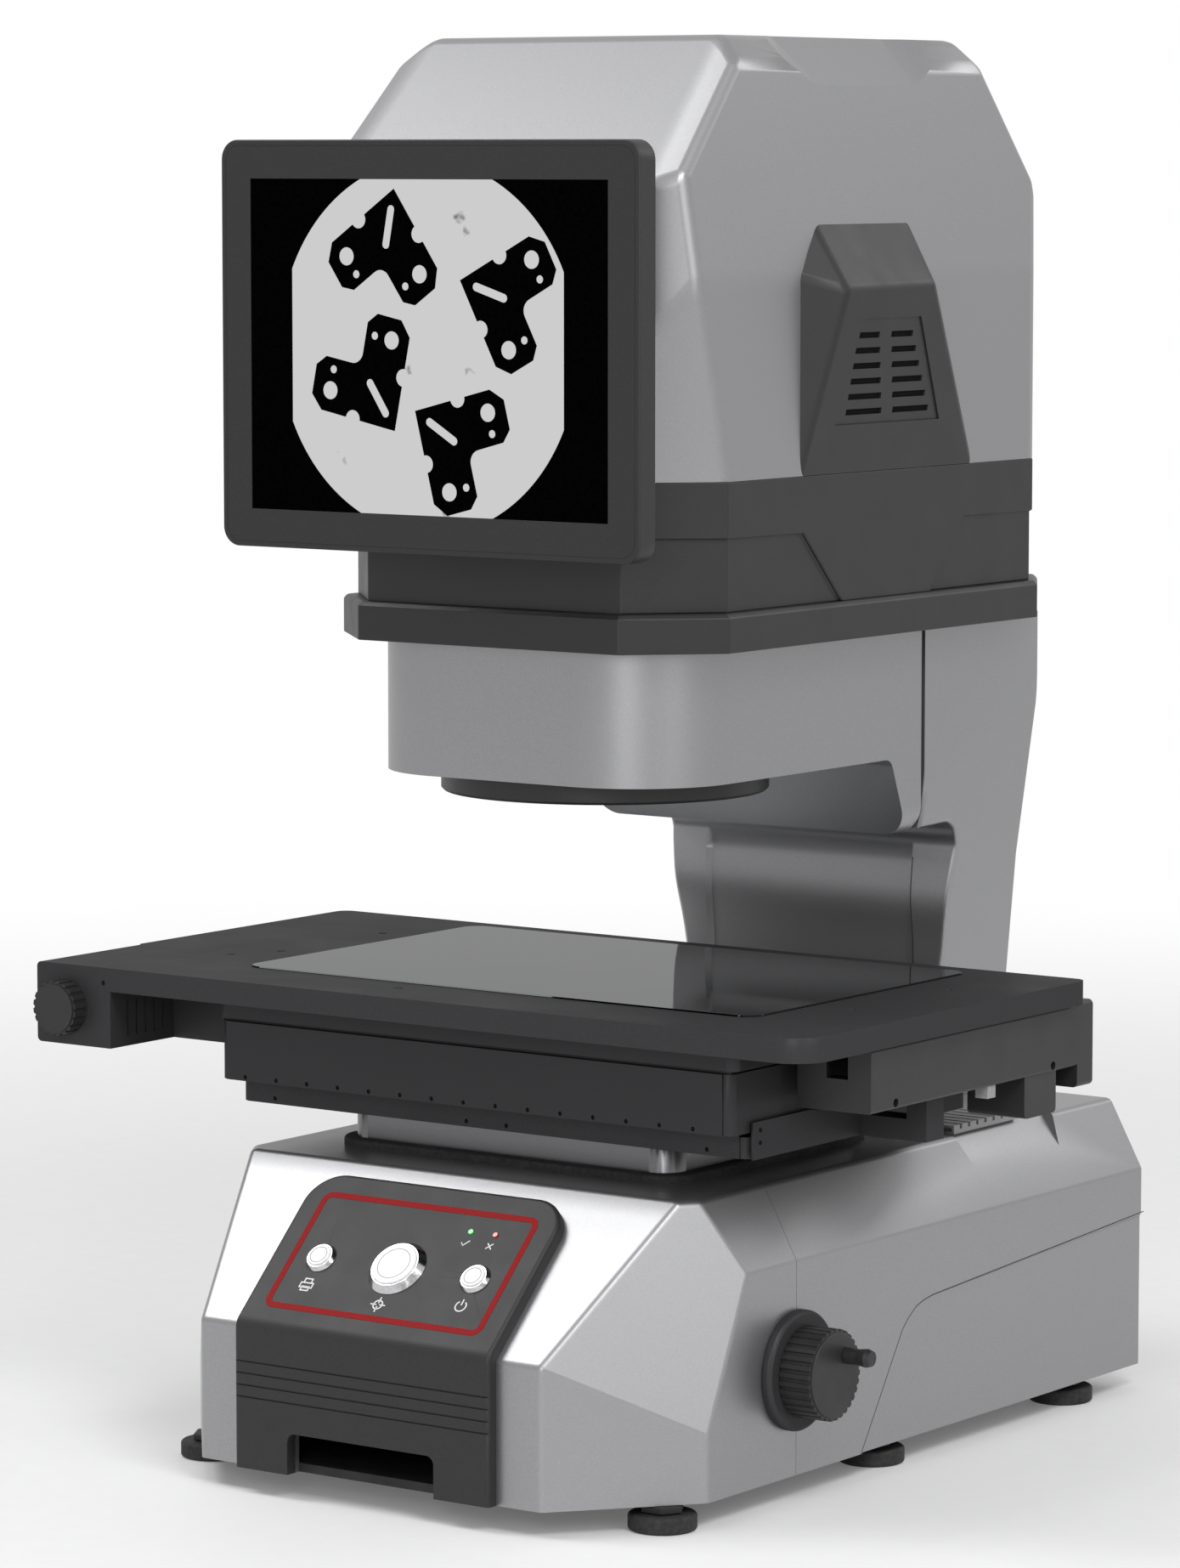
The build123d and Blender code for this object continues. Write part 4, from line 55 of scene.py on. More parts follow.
bpy.context.scene.view_settings.view_transform = "Standard"


# Studio
# A plain pale floor that fades out into a white surround, with large soft lamps over it.
class Value:
    """A socket that takes part in sums: each sign adds its Math node."""

    def __init__(self, tree, socket):
        self.tree = tree
        self.socket = socket

    def sum(self, operation, first, second):
        return self.tree.node("Math", {"operation": operation}, {0: first, 1: second})

    def __add__(self, other):
        return self.sum("ADD", self, other)

    def __mul__(self, other):
        return self.sum("MULTIPLY", self, other)

    __radd__ = __add__
    __rmul__ = __mul__

    def over(self, other):
        return self.sum("GREATER_THAN", self, other)


class Tree:
    """The nodes of a material or of the world."""

    def __init__(self, owner):
        owner.use_nodes = True
        self.nodes = owner.node_tree.nodes
        self.links = owner.node_tree.links

    def feed(self, socket, value):
        if isinstance(value, Value):
            self.links.new(value.socket, socket)
        else:
            socket.default_value = value

    def node(self, kind, settings=None, inputs=None, output=0):
        made = self.nodes.new("ShaderNode" + kind)
        for key, setting in (settings or {}).items():
            setattr(made, key, setting)
        for key, value in (inputs or {}).items():
            self.feed(made.inputs[key], value)
        return Value(self, made.outputs[output])


def tint(red, green, blue):
    """A colour picked in the photograph, from 0 to 255, as the linear colour that shaders take."""
    shares = [channel / 255 for channel in (red, green, blue)]
    linear = [share / 12.92 if share <= 0.04045 else ((share + 0.055) / 1.055) ** 2.4 for share in shares]
    return (*linear, 1.0)


class Finish(Tree):
    """A finish made of one Principled shader, mapped in the machine's own metres."""

    sockets = {"metallic": "Metallic", "roughness": "Roughness", "coat": "Coat Weight", "ior": "IOR",
               "coat_roughness": "Coat Roughness", "clear": "Transmission Weight", "edge": "Specular Tint",
               "gloss": "Specular IOR Level", "glow": "Emission Strength", "lamp": "Emission Color"}

    def __init__(self, name, colour, **levels):
        self.material = bpy.data.materials.new(name)
        super().__init__(self.material)
        self.shader = self.nodes["Principled BSDF"]
        self.where = self.node("TexCoord", output="Object")
        self.feed(self.shader.inputs["Base Color"], colour)
        for key, level in levels.items():
            self.feed(self.shader.inputs[self.sockets[key]], level)

    def grain(self, scale, detail=2.0, stretch=(1.0, 1.0, 1.0), contrast=(0.3, 0.7)):
        """Noise of so many grains a metre, spread to 0 and 1 at the two contrast points."""
        lie = self.node("Mapping", {}, {"Vector": self.where, "Scale": stretch})
        noise = self.node("TexNoise", {}, {"Vector": lie, "Scale": scale, "Detail": detail})
        return self.node("MapRange", {}, {"Value": noise, 1: contrast[0], 2: contrast[1]})

    def along(self, axis):
        """The place along one axis in metres: 0 is X, 1 is Y and 2 is Z."""
        return self.node("SeparateXYZ", {}, {0: self.where}, axis)

    def mix(self, share, first, second):
        return self.node("Mix", {"data_type": "RGBA"}, {0: share, 6: first, 7: second}, 2)

    def colour(self, share, first, second):
        self.feed(self.shader.inputs["Base Color"], self.mix(share, first, second))

    def level(self, key, value):
        self.feed(self.shader.inputs[self.sockets[key]], value)

    def relief(self, height, depth, strength=1.0):
        bump = self.node("Bump", {}, {"Height": height, "Distance": depth, "Strength": strength})
        self.feed(self.shader.inputs["Normal"], bump)


def round_sheet(name, radius, rings, spokes):
    """A flat round mesh on the floor."""
    mesh = bmesh.new()
    bmesh.ops.create_circle(mesh, cap_ends=True, cap_tris=True, segments=spokes, radius=radius)
    bmesh.ops.subdivide_edges(mesh, edges=mesh.edges[:], cuts=rings, use_grid_fill=True)
    data = bpy.data.meshes.new(name)
    mesh.to_mesh(data)
    mesh.free()
    return data


floor = bpy.data.objects.new("studio_floor", round_sheet("studio_floor", 6.0, 4, 96))
bpy.context.scene.collection.objects.link(floor)
pale_floor = Finish("pale_floor", tint(232, 232, 232), roughness=0.6, glow=0.12)
pale_floor.level("lamp", (1.0, 1.0, 1.0, 1.0))
pale_floor.colour(pale_floor.grain(60.0, 4.0), tint(231, 231, 231), tint(233, 233, 233))
spread = pale_floor.node("VectorMath", {"operation": "LENGTH"}, {0: pale_floor.where}, 1)
fade = pale_floor.node("MapRange", {"interpolation_type": "SMOOTHSTEP"}, {"Value": spread, 1: 0.7, 2: 2.6})
see_through = pale_floor.nodes.new("ShaderNodeBsdfTransparent")
blend = pale_floor.nodes.new("ShaderNodeMixShader")
pale_floor.feed(blend.inputs[0], fade)
pale_floor.links.new(pale_floor.shader.outputs[0], blend.inputs[1])
pale_floor.links.new(see_through.outputs[0], blend.inputs[2])
pale_floor.links.new(blend.outputs[0], pale_floor.nodes["Material Output"].inputs["Surface"])
floor.data.materials.append(pale_floor.material)

world = bpy.data.worlds.new("surround")
bpy.context.scene.world = world
surround = Tree(world)
seen = surround.node("LightPath", output="Is Camera Ray")
rays = seen.socket.node
mirrored = (Value(surround, rays.outputs["Is Glossy Ray"])
            + Value(surround, rays.outputs["Is Transmission Ray"]))
AMBIENT = 0.42
MIRRORED = 0.72
background = surround.nodes["Background"]
background.inputs["Color"].default_value = (1.0, 1.0, 1.0, 1.0)
surround.feed(background.inputs["Strength"],
              AMBIENT + (1.0 - AMBIENT) * seen + (MIRRORED - AMBIENT) * mirrored)


def soft_lamp(name, place, target, width, depth, watts):
    lamp = bpy.data.objects.new(name, bpy.data.lights.new(name, "AREA"))
    bpy.context.scene.collection.objects.link(lamp)
    lamp.location = place
    lamp.rotation_euler = (Vector(target) - Vector(place)).to_track_quat("-Z", "Y").to_euler()
    lamp.data.shape = "RECTANGLE"
    lamp.data.size = width
    lamp.data.size_y = depth
    lamp.data.energy = watts


soft_lamp("overhead_box", (-1.85, -0.92, 2.6), (-1.85, -0.92, 0.0), 1.7, 0.8, 34.0)
soft_lamp("streak_box", (-0.35, -0.5, 2.6), (-0.35, -0.5, 0.0), 0.6, 0.6, 5.0)
soft_lamp("cheek_box", (2.1, -0.62, 0.95), (0.15, -0.2, 0.1), 0.8, 0.8, 4.0)
soft_lamp("right_box", (1.3, -2.7, 1.1), (0.0, 0.0, 0.4), 0.9, 0.9, 15.0)
soft_lamp("upper_right_box", (1.7, -1.0, 2.1), (0.1, -0.1, 0.2), 0.9, 0.9, 24.0)
soft_lamp("back_box", (1.6, 2.4, 2.2), (0.0, 0.0, 0.5), 1.2, 1.2, 12.0)


# Covers of the base, the neck and the head
# Moulded covers and the column casting under one coat of silver lacquer: fine metal flake, a slight
# orange peel and a clear coat over it. No screw shows, so they are held from below and behind.
def dress(finish, *names):
    """Gives CAD nodes a finish in place of the plain one they come with."""
    for name in names:
        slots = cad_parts[name].data.materials
        for index in range(len(slots)):
            slots[index] = finish.material


silver_lacquer = Finish("silver_lacquer", tint(156, 156, 158), metallic=0.88, coat=0.15, coat_roughness=0.12)
flake = silver_lacquer.grain(2600.0, 1.0)
peel = silver_lacquer.grain(230.0, 2.0)
silver_lacquer.colour(flake, tint(150, 150, 152), tint(164, 164, 166))
silver_lacquer.level("roughness", 0.34 + 0.06 * silver_lacquer.grain(3.0, 4.0))
silver_lacquer.relief(0.6 * peel + 0.4 * flake, 0.00003, 0.5)
dress(silver_lacquer, "base_front_cover", "base_rear_cover", "column_casting", "neck_panel", "lens_housing",
      "head_cover")


# Floor of the base, its feet and its guide rods
# A steel plate with two ground guide rods, on six moulded rubber feet, each locked by a hex nut. The plate
# and the nuts are near-black as painted shade under the base.
AXIS_X = 21.35
AXIS_Y = -39.75


def at(x, y, z):
    """A place in millimetres from the optical axis and the floor, in the shared frame."""
    return Vector((x + AXIS_X, y + AXIS_Y, z)) / 1000


def seat(x, y, z, facing):
    """The matrix that sets a mesh drawn round its own Z on a surface that faces this way."""
    return Matrix.Translation(at(x, y, z)) @ Vector(facing).to_track_quat("Z", "Y").to_matrix().to_4x4()


def turned(profile, sides=48):
    """A closed mesh turned round Z from (radius, height) points in millimetres."""
    mesh = bmesh.new()
    rings = []
    for radius, height in profile:
        if radius == 0:
            rings.append([mesh.verts.new((0, 0, height / 1000))] * sides)
        else:
            angles = [2 * math.pi * step / sides for step in range(sides)]
            rings.append([mesh.verts.new((radius / 1000 * math.cos(angle), radius / 1000 * math.sin(angle),
                                          height / 1000)) for angle in angles])
    for low, high in zip(rings, rings[1:] + rings[:1]):
        for step in range(sides):
            after = (step + 1) % sides
            corners = list(dict.fromkeys((low[step], low[after], high[after], high[step])))
            if len(corners) > 2:
                mesh.faces.new(corners)
    bmesh.ops.recalc_face_normals(mesh, faces=mesh.faces[:])
    return mesh


def piece(name, parts, finish, body, smooth=True, crease=35):
    """One object made of several meshes, each with its own place, that rides on a body."""
    whole = bmesh.new()
    for mesh, matrix in parts:
        copy = mesh.copy()
        copy.transform(matrix)
        data = bpy.data.meshes.new(name + "_part")
        copy.to_mesh(data)
        whole.from_mesh(data)
        copy.free()
        bpy.data.meshes.remove(data)
    data = bpy.data.meshes.new(name)
    whole.to_mesh(data)
    whole.free()
    data.materials.append(finish.material)
    made = bpy.data.objects.new(name, data)
    bpy.context.scene.collection.objects.link(made)
    if smooth:
        data.shade_smooth()
        data.set_sharp_from_angle(angle=math.radians(crease))
        flats = made.modifiers.new("flat_faces", "WEIGHTED_NORMAL")
        flats.keep_sharp = True
    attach(made, body)
    return made


# Near-black for the floor plate and the foot nuts: painted shade under the base.
dark_plate = Finish("dark_plate", tint(34, 34, 35), metallic=0.3)
dark_plate.colour(dark_plate.grain(60.0, 6.0), tint(28, 28, 29), tint(44, 44, 45))
dark_plate.level("roughness", 0.5 + 0.2 * dark_plate.grain(35.0, 5.0))
dress(dark_plate, "base_plate")

ground_steel = Finish("ground_steel", tint(196, 198, 200), metallic=1.0)
lay = ground_steel.grain(120.0, 3.0, (1.0, 1.0, 40.0))
ground_steel.colour(lay, tint(178, 180, 183), tint(206, 208, 210))
ground_steel.level("roughness", 0.18 + 0.12 * lay)
ground_steel.relief(lay, 0.00002, 0.4)
dress(ground_steel, "lift_guide_rods", "lift_rack", "shaft_bearing_blocks", "handwheel_shaft", "x_rails",
      "x_blocks", "x_idler")

moulded_rubber = Finish("moulded_rubber", tint(38, 38, 39), gloss=0.35)
moulded_rubber.colour(moulded_rubber.grain(420.0, 4.0), tint(32, 32, 33), tint(52, 52, 53))
moulded_rubber.level("roughness", 0.62 + 0.2 * moulded_rubber.grain(40.0, 4.0))
moulded_rubber.relief(moulded_rubber.grain(1400.0, 3.0), 0.00006, 0.6)
dress(moulded_rubber, "rubber_feet", "pedestal_gasket")

FOOT_SIDE = 157.5
FOOT_ROWS = (-166.0, 42.0, 250.0)
FOOT_PLACES = [(x, y) for x in (-FOOT_SIDE, FOOT_SIDE) for y in FOOT_ROWS]
LOCK_NUT = [(8.2, 9.8), (11.6, 9.8), (12.6, 10.5), (12.6, 13.4), (11.6, 14.0), (8.2, 14.0)]
lock_nut = turned(LOCK_NUT, 6)
piece("foot_lock_nuts", [(lock_nut, Matrix.Translation(at(x, y, 0))) for x, y in FOOT_PLACES], dark_plate,
      "stand", smooth=False)


# Front trim and control panel
# A charcoal ABS moulding over the front of the base. Its slope carries a printed red border, three lit push
# buttons in polished rings, two lamps, and plain white signs for what each of them does.
charcoal_plastic = Finish("charcoal_plastic", tint(40, 40, 41), gloss=0.38)
spark = charcoal_plastic.grain(1500.0, 3.0)
charcoal_plastic.colour(spark, tint(34, 34, 35), tint(44, 44, 45))
charcoal_plastic.level("roughness", 0.45 + 0.04 * charcoal_plastic.grain(55.0, 4.0))
charcoal_plastic.relief(spark, 0.00004, 0.7)
dress(charcoal_plastic, "front_trim", "display_housing", "power_inlet")

red_ink = Finish("red_ink", tint(140, 16, 20), roughness=0.5, gloss=0.1)
red_ink.colour(red_ink.grain(900.0, 3.0), tint(132, 14, 17), tint(148, 18, 22))

PANEL_RUN = Vector((0, 85.0, 81.9)).normalized()
PANEL_OUT = Vector((0, -81.9, 85.0)).normalized()
PANEL_FOOT = Vector((0, -224.7, 94.0))


def on_panel(x, row, lift):
    """The matrix of a place on the sloping panel: local X runs across, Y up the slope and Z outwards."""
    middle = PANEL_FOOT + Vector((x, 0, 0)) + PANEL_RUN * row + PANEL_OUT * lift
    turn = Matrix((Vector((1, 0, 0)), PANEL_RUN, PANEL_OUT)).transposed().to_4x4()
    return Matrix.Translation(at(*middle)) @ turn


polished_ring = Finish("polished_ring", tint(214, 214, 216), metallic=1.0)
spin = polished_ring.grain(500.0, 3.0)
polished_ring.colour(spin, tint(188, 188, 190), tint(208, 208, 210))
polished_ring.level("roughness", 0.09 + 0.08 * spin)

lit_cap = Finish("lit_cap", tint(226, 226, 226), roughness=0.35, glow=0.12)
milk = lit_cap.grain(300.0, 3.0)
lit_cap.colour(milk, tint(216, 216, 216), tint(226, 226, 226))
lit_cap.level("lamp", lit_cap.mix(milk, (0.94, 0.95, 0.97, 1.0), (1.0, 1.0, 1.0, 1.0)))

cap_line = Finish("cap_line", tint(96, 96, 98), roughness=0.5)
cap_line.colour(cap_line.grain(900.0), tint(84, 84, 86), tint(110, 110, 112))
PANEL_LIFT = 7.3
BUTTON_ROW = 45.5
CAP_PROUD = 1.0
CAP_GAP = 0.2
CAP_EDGE = 0.4
CAP_UNDERSIDE = 1.7
STEM_SHARE = 0.88
STEM_PLAY = 0.25
STEM_FOOT = -6.0
RING_RIM = 0.6
RING_EDGE = (0.9, 0.25)
RING_FOOT = 0.4
LINE_SHARE = 0.72
LINE_WIDTH = 0.3
LINE_SUNK = -0.05
LINE_PROUD = 0.06
SMALL_BUTTON = (7.0, 9.4, 2.6)
LARGE_BUTTON = (13.7, 17.8, 4.0)
BUTTONS = (("button_print", -53.7, SMALL_BUTTON), ("button_measure", 0.0, LARGE_BUTTON),
           ("button_power", 53.7, SMALL_BUTTON))


def button_ring(radius, foot, height):
    """A ring that flares from its rim down to a thin foot, with a fine gap round the cap."""
    bore = radius + CAP_GAP
    edge_out, edge_down = RING_EDGE
    return turned([(bore, 0), (foot, 0), (foot, RING_FOOT), (bore + edge_out, height - edge_down),
                   (bore + RING_RIM, height), (bore, height)], 96)


def button_cap(radius, top):
    """A cap with a broken edge over a slimmer stem."""
    stem = radius * STEM_SHARE - STEM_PLAY
    return turned([(0, STEM_FOOT), (stem, STEM_FOOT), (stem, CAP_UNDERSIDE), (radius, CAP_UNDERSIDE),
                   (radius, top - CAP_EDGE), (radius - CAP_EDGE, top), (0, top)], 96)


def cap_hoop(radius):
    """A thin printed line round the top of a cap."""
    inner = radius * LINE_SHARE
    outer = inner + LINE_WIDTH
    return turned([(inner, LINE_SUNK), (outer, LINE_SUNK), (outer, LINE_PROUD), (inner, LINE_PROUD)], 64)


flares = []
for body, x, (radius, foot, height) in BUTTONS:
    top = height + CAP_PROUD
    ring_place = on_panel(x, BUTTON_ROW, PANEL_LIFT)
    flares.append((button_ring(radius, foot, height), ring_place))
    pressed = piece(body + "_cap", [(button_cap(radius, top), ring_place)], lit_cap, body)
    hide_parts(body)
    line_place = on_panel(x, BUTTON_ROW, PANEL_LIFT + top)
    piece(body + "_ring_line", [(cap_hoop(radius), line_place)], cap_line, body)
button_rings = piece("flared_button_rings", flares, polished_ring, "stand")
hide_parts("button_bezels")

lamp_lens = Finish("lamp_lens", tint(40, 200, 60), roughness=0.25, coat=0.6, glow=0.9)
red_side = lamp_lens.along(0).over(0.0644)
cloudy = lamp_lens.grain(700.0)
lamp_lens.colour(red_side, lamp_lens.mix(cloudy, tint(20, 150, 40), tint(40, 190, 60)),
                 lamp_lens.mix(cloudy, tint(140, 20, 22), tint(176, 30, 32)))
lamp_lens.level("lamp", lamp_lens.mix(red_side, tint(26, 190, 50), tint(150, 18, 20)))
dress(lamp_lens, "status_lamps")

white_ink = Finish("white_ink", tint(226, 226, 226), roughness=0.5)
white_ink.colour(white_ink.grain(1200.0, 3.0), tint(214, 214, 214), tint(234, 234, 234))


def cut_sheet(outlines, thickness):
    """A flat sheet round Z = 0 from closed outlines in millimetres: its edge first, and then its holes."""
    curve = bpy.data.curves.new("outline", "CURVE")
    curve.dimensions = "2D"
    curve.fill_mode = "BOTH"
    curve.extrude = thickness / 2000
    for outline in outlines:
        spline = curve.splines.new("POLY")
        spline.points.add(len(outline) - 1)
        for point, (x, y) in zip(spline.points, outline):
            point.co = (x / 1000, y / 1000, 0, 1)
        spline.use_cyclic_u = True
    holder = bpy.data.objects.new("outline", curve)
    data = bpy.data.meshes.new_from_object(holder)
    mesh = bmesh.new()
    mesh.from_mesh(data)
    bmesh.ops.remove_doubles(mesh, verts=mesh.verts[:], dist=1e-7)
    bpy.data.objects.remove(holder)
    bpy.data.curves.remove(curve)
    bpy.data.meshes.remove(data)
    return mesh


def arc(x, y, radius, start=0.0, stop=360.0, steps=28):
    """Points along an arc in millimetres, without the last one of a full circle."""
    full = abs(stop - start) >= 360
    count = steps if full else steps + 1
    angles = [math.radians(start + (stop - start) * step / steps) for step in range(count)]
    return [(x + radius * math.cos(angle), y + radius * math.sin(angle)) for angle in angles]


def stroke(points, width):
    """The closed outline of an open line of this width, with square ends."""
    half = width / 2
    left, right = [], []
    for index, (x, y) in enumerate(points):
        before = points[max(index - 1, 0)]
        after = points[min(index + 1, len(points) - 1)]
        run = Vector((after[0] - before[0], after[1] - before[1])).normalized()
        left.append((x - run.y * half, y + run.x * half))
        right.append((x + run.y * half, y - run.x * half))
    return left + right[::-1]


def band(x, y, radius, width):
    """A printed ring: its edge and its hole."""
    return [arc(x, y, radius + width / 2), arc(x, y, radius - width / 2)[::-1]]


def box_line(x0, y0, x1, y1):
    return [(x0, y0), (x1, y0), (x1, y1), (x0, y1)]


def loop_line(half_x, half_y, corner, width):
    """The edge and the hole of a thin line round a rounded rectangle."""
    outlines = []
    for grow in (width / 2, -width / 2):
        reach_x, reach_y, radius = half_x + grow, half_y + grow, corner + grow
        outline = []
        for turn, side_x, side_y in ((0, 1, 1), (90, -1, 1), (180, -1, -1), (270, 1, -1)):
            middle = (side_x * (reach_x - radius), side_y * (reach_y - radius))
            outline += arc(*middle, radius, turn, turn + 90, 8)
        outlines.append(outline)
    return [outlines[0], outlines[1][::-1]]


INK = 0.16
INK_LINE = 0.8
SIGN_LIFT = PANEL_LIFT + INK / 2
power_sign = [[stroke(arc(0, 0, 3.4, 125, 415, 40), INK_LINE)], [box_line(-0.4, 0.6, 0.4, 4.6)]]
measure_sign = [band(0, 0, 2.9, INK_LINE)] + [
    [box_line(*corner)] for corner in ((-5.0, -0.4, -1.0, 0.4), (1.0, -0.4, 5.0, 0.4), (-0.4, 1.0, 0.4, 5.0),
                                       (-0.4, -5.0, 0.4, -1.0))]
print_sign = [[box_line(-4.6, -2.4, 4.6, 1.6), box_line(-3.8, -1.6, 3.8, 0.8)[::-1]],
              [box_line(-2.9, 1.6, 2.9, 4.4), box_line(-2.1, 1.6, 2.1, 3.6)[::-1]],
              [box_line(-2.9, -4.4, 2.9, -1.0), box_line(-2.1, -3.6, 2.1, -1.4)[::-1]]]
pass_sign = [[stroke([(-2.4, 0.2), (-0.7, -1.7), (2.6, 2.0)], 0.7)]]
fail_sign = [[stroke([(-1.9, -1.9), (1.9, 1.9)], 0.7)], [stroke([(-1.9, 1.9), (1.9, -1.9)], 0.7)]]
SIGNS = (("print_sign", print_sign, -53.7, 27.0), ("measure_sign", measure_sign, 0.0, 20.5),
         ("power_sign", power_sign, 53.7, 27.0), ("pass_sign", pass_sign, 34.4, 68.0),
         ("fail_sign", fail_sign, 51.3, 68.0))
BORDER_HALVES = (73.6, 38.8)
BORDER_CORNER = 5.0
BORDER_LINE = 3.8
BORDER_ROW = 49.9
border = cut_sheet(loop_line(*BORDER_HALVES, BORDER_CORNER, BORDER_LINE), INK)
printed_border = piece("printed_border", [(border, on_panel(0, BORDER_ROW, SIGN_LIFT))], red_ink, "stand",
                       smooth=False)
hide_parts("control_border")
for name, shapes, x, row in SIGNS:
    piece(name, [(cut_sheet(shape, INK), on_panel(x, row, SIGN_LIFT)) for shape in shapes], white_ink,
          "stand", smooth=False)


# Handwheel
# A fluted wheel of black phenolic plastic with a spinning crank grip, on a turned flange of black anodised
# aluminium whose neck goes through the side of the base.
black_phenolic = Finish("black_phenolic", tint(38, 38, 39), gloss=0.4)
black_phenolic.colour(black_phenolic.grain(900.0, 3.0), tint(34, 34, 35), tint(44, 44, 45))
black_phenolic.level("roughness", 0.4 + 0.14 * black_phenolic.grain(60.0, 4.0))
black_phenolic.relief(black_phenolic.grain(1800.0, 2.0), 0.00003, 0.5)
dress(black_phenolic, "handwheel", "crank_grip", "x_knob", "y_screw")

black_anodised = Finish("black_anodised", tint(64, 64, 65), metallic=0.35, gloss=0.0,
                        edge=(0.8, 0.8, 0.8, 1.0))
blast = black_anodised.grain(2200.0, 2.0)
black_anodised.colour(blast, tint(60, 60, 61), tint(68, 68, 70))
black_anodised.level("roughness", 0.36 + 0.1 * black_anodised.grain(20.0, 5.0))
black_anodised.relief(blast, 0.00002, 0.5)
dress(black_anodised, "handwheel_flange", "lower_carriage", "middle_carriage", "x_guide_frame",
      "table_plate", "left_drive_box", "x_motor", "y_motor")


# Column and neck
# One lacquered casting: a head block over a slimmer neck that hollows back under it and bellies gently
# behind the stage. A cover panel is let into the front of the neck, and its edge slopes back to it.
def face_through(inside, *corners):
    """The plane through three places, as a place on it and the direction that points away from the inside."""
    first, second, third = (Vector(corner) for corner in corners)
    normal = (second - first).cross(third - first).normalized()
    if normal.dot(Vector(inside) - first) > 0:
        normal.negate()
    return first, normal


def on_side(side, inside, faces):
    """The planes of faces that are drawn on the right: side is 1 for the right and -1 for the left."""
    flip = Vector((side, 1, 1))
    flipped = [[Vector(corner) * flip for corner in face] for face in faces]
    return [face_through(Vector(inside) * flip, *corners) for corners in flipped]


def both_sides(inside, *corners):
    """The same plane on the right side and on the left."""
    return on_side(1, inside, [corners]) + on_side(-1, inside, [corners])


def trim(mesh, planes):
    """Cuts a closed mesh back to the inside of each plane."""
    for place, normal in planes:
        cut = bmesh.ops.bisect_plane(mesh, geom=mesh.verts[:] + mesh.edges[:] + mesh.faces[:], plane_co=place,
                                     plane_no=normal, clear_outer=True)
        edges = [part for part in cut["geom_cut"] if isinstance(part, bmesh.types.BMEdge)]
        rim = [edge for edge in edges if len(edge.link_faces) == 1]
        bmesh.ops.edgeloop_fill(mesh, edges=rim)
    bmesh.ops.recalc_face_normals(mesh, faces=mesh.faces[:])


def soften(mesh, width, steps, chosen):
    """Rounds the chosen edges of a mesh."""
    edges = [edge for edge in mesh.edges if chosen(edge)]
    bmesh.ops.bevel(mesh, geom=edges, offset=width, segments=steps, profile=0.5, affect="EDGES",
                    clamp_overlap=True)


def join_loops(mesh, loops):
    """The faces between neighbouring loops of corners, and a face over each end."""
    for near, far in zip(loops, loops[1:]):
        for index in range(len(near)):
            after = (index + 1) % len(near)
            mesh.faces.new((near[index], near[after], far[after], far[index]))
    mesh.faces.new(loops[0])
    mesh.faces.new(loops[-1][::-1])


IN_METRES = Matrix.Translation(at(0, 0, 0)) @ Matrix.Scale(0.001, 4)
NECK_FRONT = 214.5
BELLY_MIDDLE = 303.0
BELLY_BULGE = 3.5
BELLY_SPREAD = 22.0
BELLY_ROWS = range(326, 185, -6)
HOLLOW_RADIUS = 17.5
HOLLOW_Y = NECK_FRONT - HOLLOW_RADIUS
BLOCK_FRONT = 165.0
BLOCK_FLOOR = 350.0
CASTING_FOOT = 176.1
CASTING_TOP = 470.0
CASTING_REAR = 297.0
REAR_FOOT = 322.0
CASTING_TAIL = 306.0
TAIL_TOP = 236.0
CASTING_HALF = 112.4
CASTING_INSIDE = (0, 250, 350)
CASTING_CORNERS = ((112.4, 246.3, 0), (104.5, 346.3, 0), (112.4, 246.3, 50))
CASTING_TAPER = ((112.4, 246.3, 412), (108.45, 296.3, 412), (98.14, 246.3, 312))
PANEL_SIDE = 73.0
PANEL_DEPTH = 3.0
PANEL_STEP = 0.2
ROUND_WIDTH = 3.0
ROUND_FOOT = 190
ROUND_TOP = 469
SHARP_TURN = 0.6


def neck_side():
    """The casting from the side, as (y, z, share of the panel's recess) points."""
    outline = [(BLOCK_FRONT, CASTING_TOP, 0), (BLOCK_FRONT, BLOCK_FLOOR, 0)]
    hollow = arc(HOLLOW_Y, BLOCK_FLOOR - HOLLOW_RADIUS, HOLLOW_RADIUS, 90, 0, 10)
    outline += [(y, z, 0) for y, z in hollow]
    for z in BELLY_ROWS:
        bulge = BELLY_BULGE * math.exp(-((z - BELLY_MIDDLE) / BELLY_SPREAD) ** 2)
        outline.append((NECK_FRONT - bulge, z, 1))
    outline += [(NECK_FRONT, CASTING_FOOT, 0), (CASTING_TAIL, CASTING_FOOT, 0), (CASTING_TAIL, TAIL_TOP, 0)]
    return outline + [(CASTING_REAR, REAR_FOOT, 0), (CASTING_REAR, CASTING_TOP, 0)]


def rounded_corner(edge):
    """True for a sharp edge outside the panel, away from the casting's foot and top."""
    inner = PANEL_SIDE + PANEL_DEPTH
    return edge.calc_face_angle(0) > SHARP_TURN and all(
        ROUND_FOOT < corner.co.z < ROUND_TOP and abs(corner.co.x) > inner for corner in edge.verts)


def neck_casting():
    """The side outline at six stations across, cut back at its corners."""
    mesh = bmesh.new()
    stations = ((-CASTING_HALF, 0), (-PANEL_SIDE - PANEL_DEPTH, 0), (-PANEL_SIDE, PANEL_DEPTH),
                (PANEL_SIDE, PANEL_DEPTH), (PANEL_SIDE + PANEL_STEP, 0), (CASTING_HALF, 0))
    outline = neck_side()
    join_loops(mesh, [[mesh.verts.new((x, y + depth * share, z)) for y, z, share in outline]
                      for x, depth in stations])
    bmesh.ops.recalc_face_normals(mesh, faces=mesh.faces[:])
    trim(mesh, both_sides(CASTING_INSIDE, *CASTING_CORNERS) + both_sides(CASTING_INSIDE, *CASTING_TAPER))
    soften(mesh, ROUND_WIDTH, 3, rounded_corner)
    return mesh


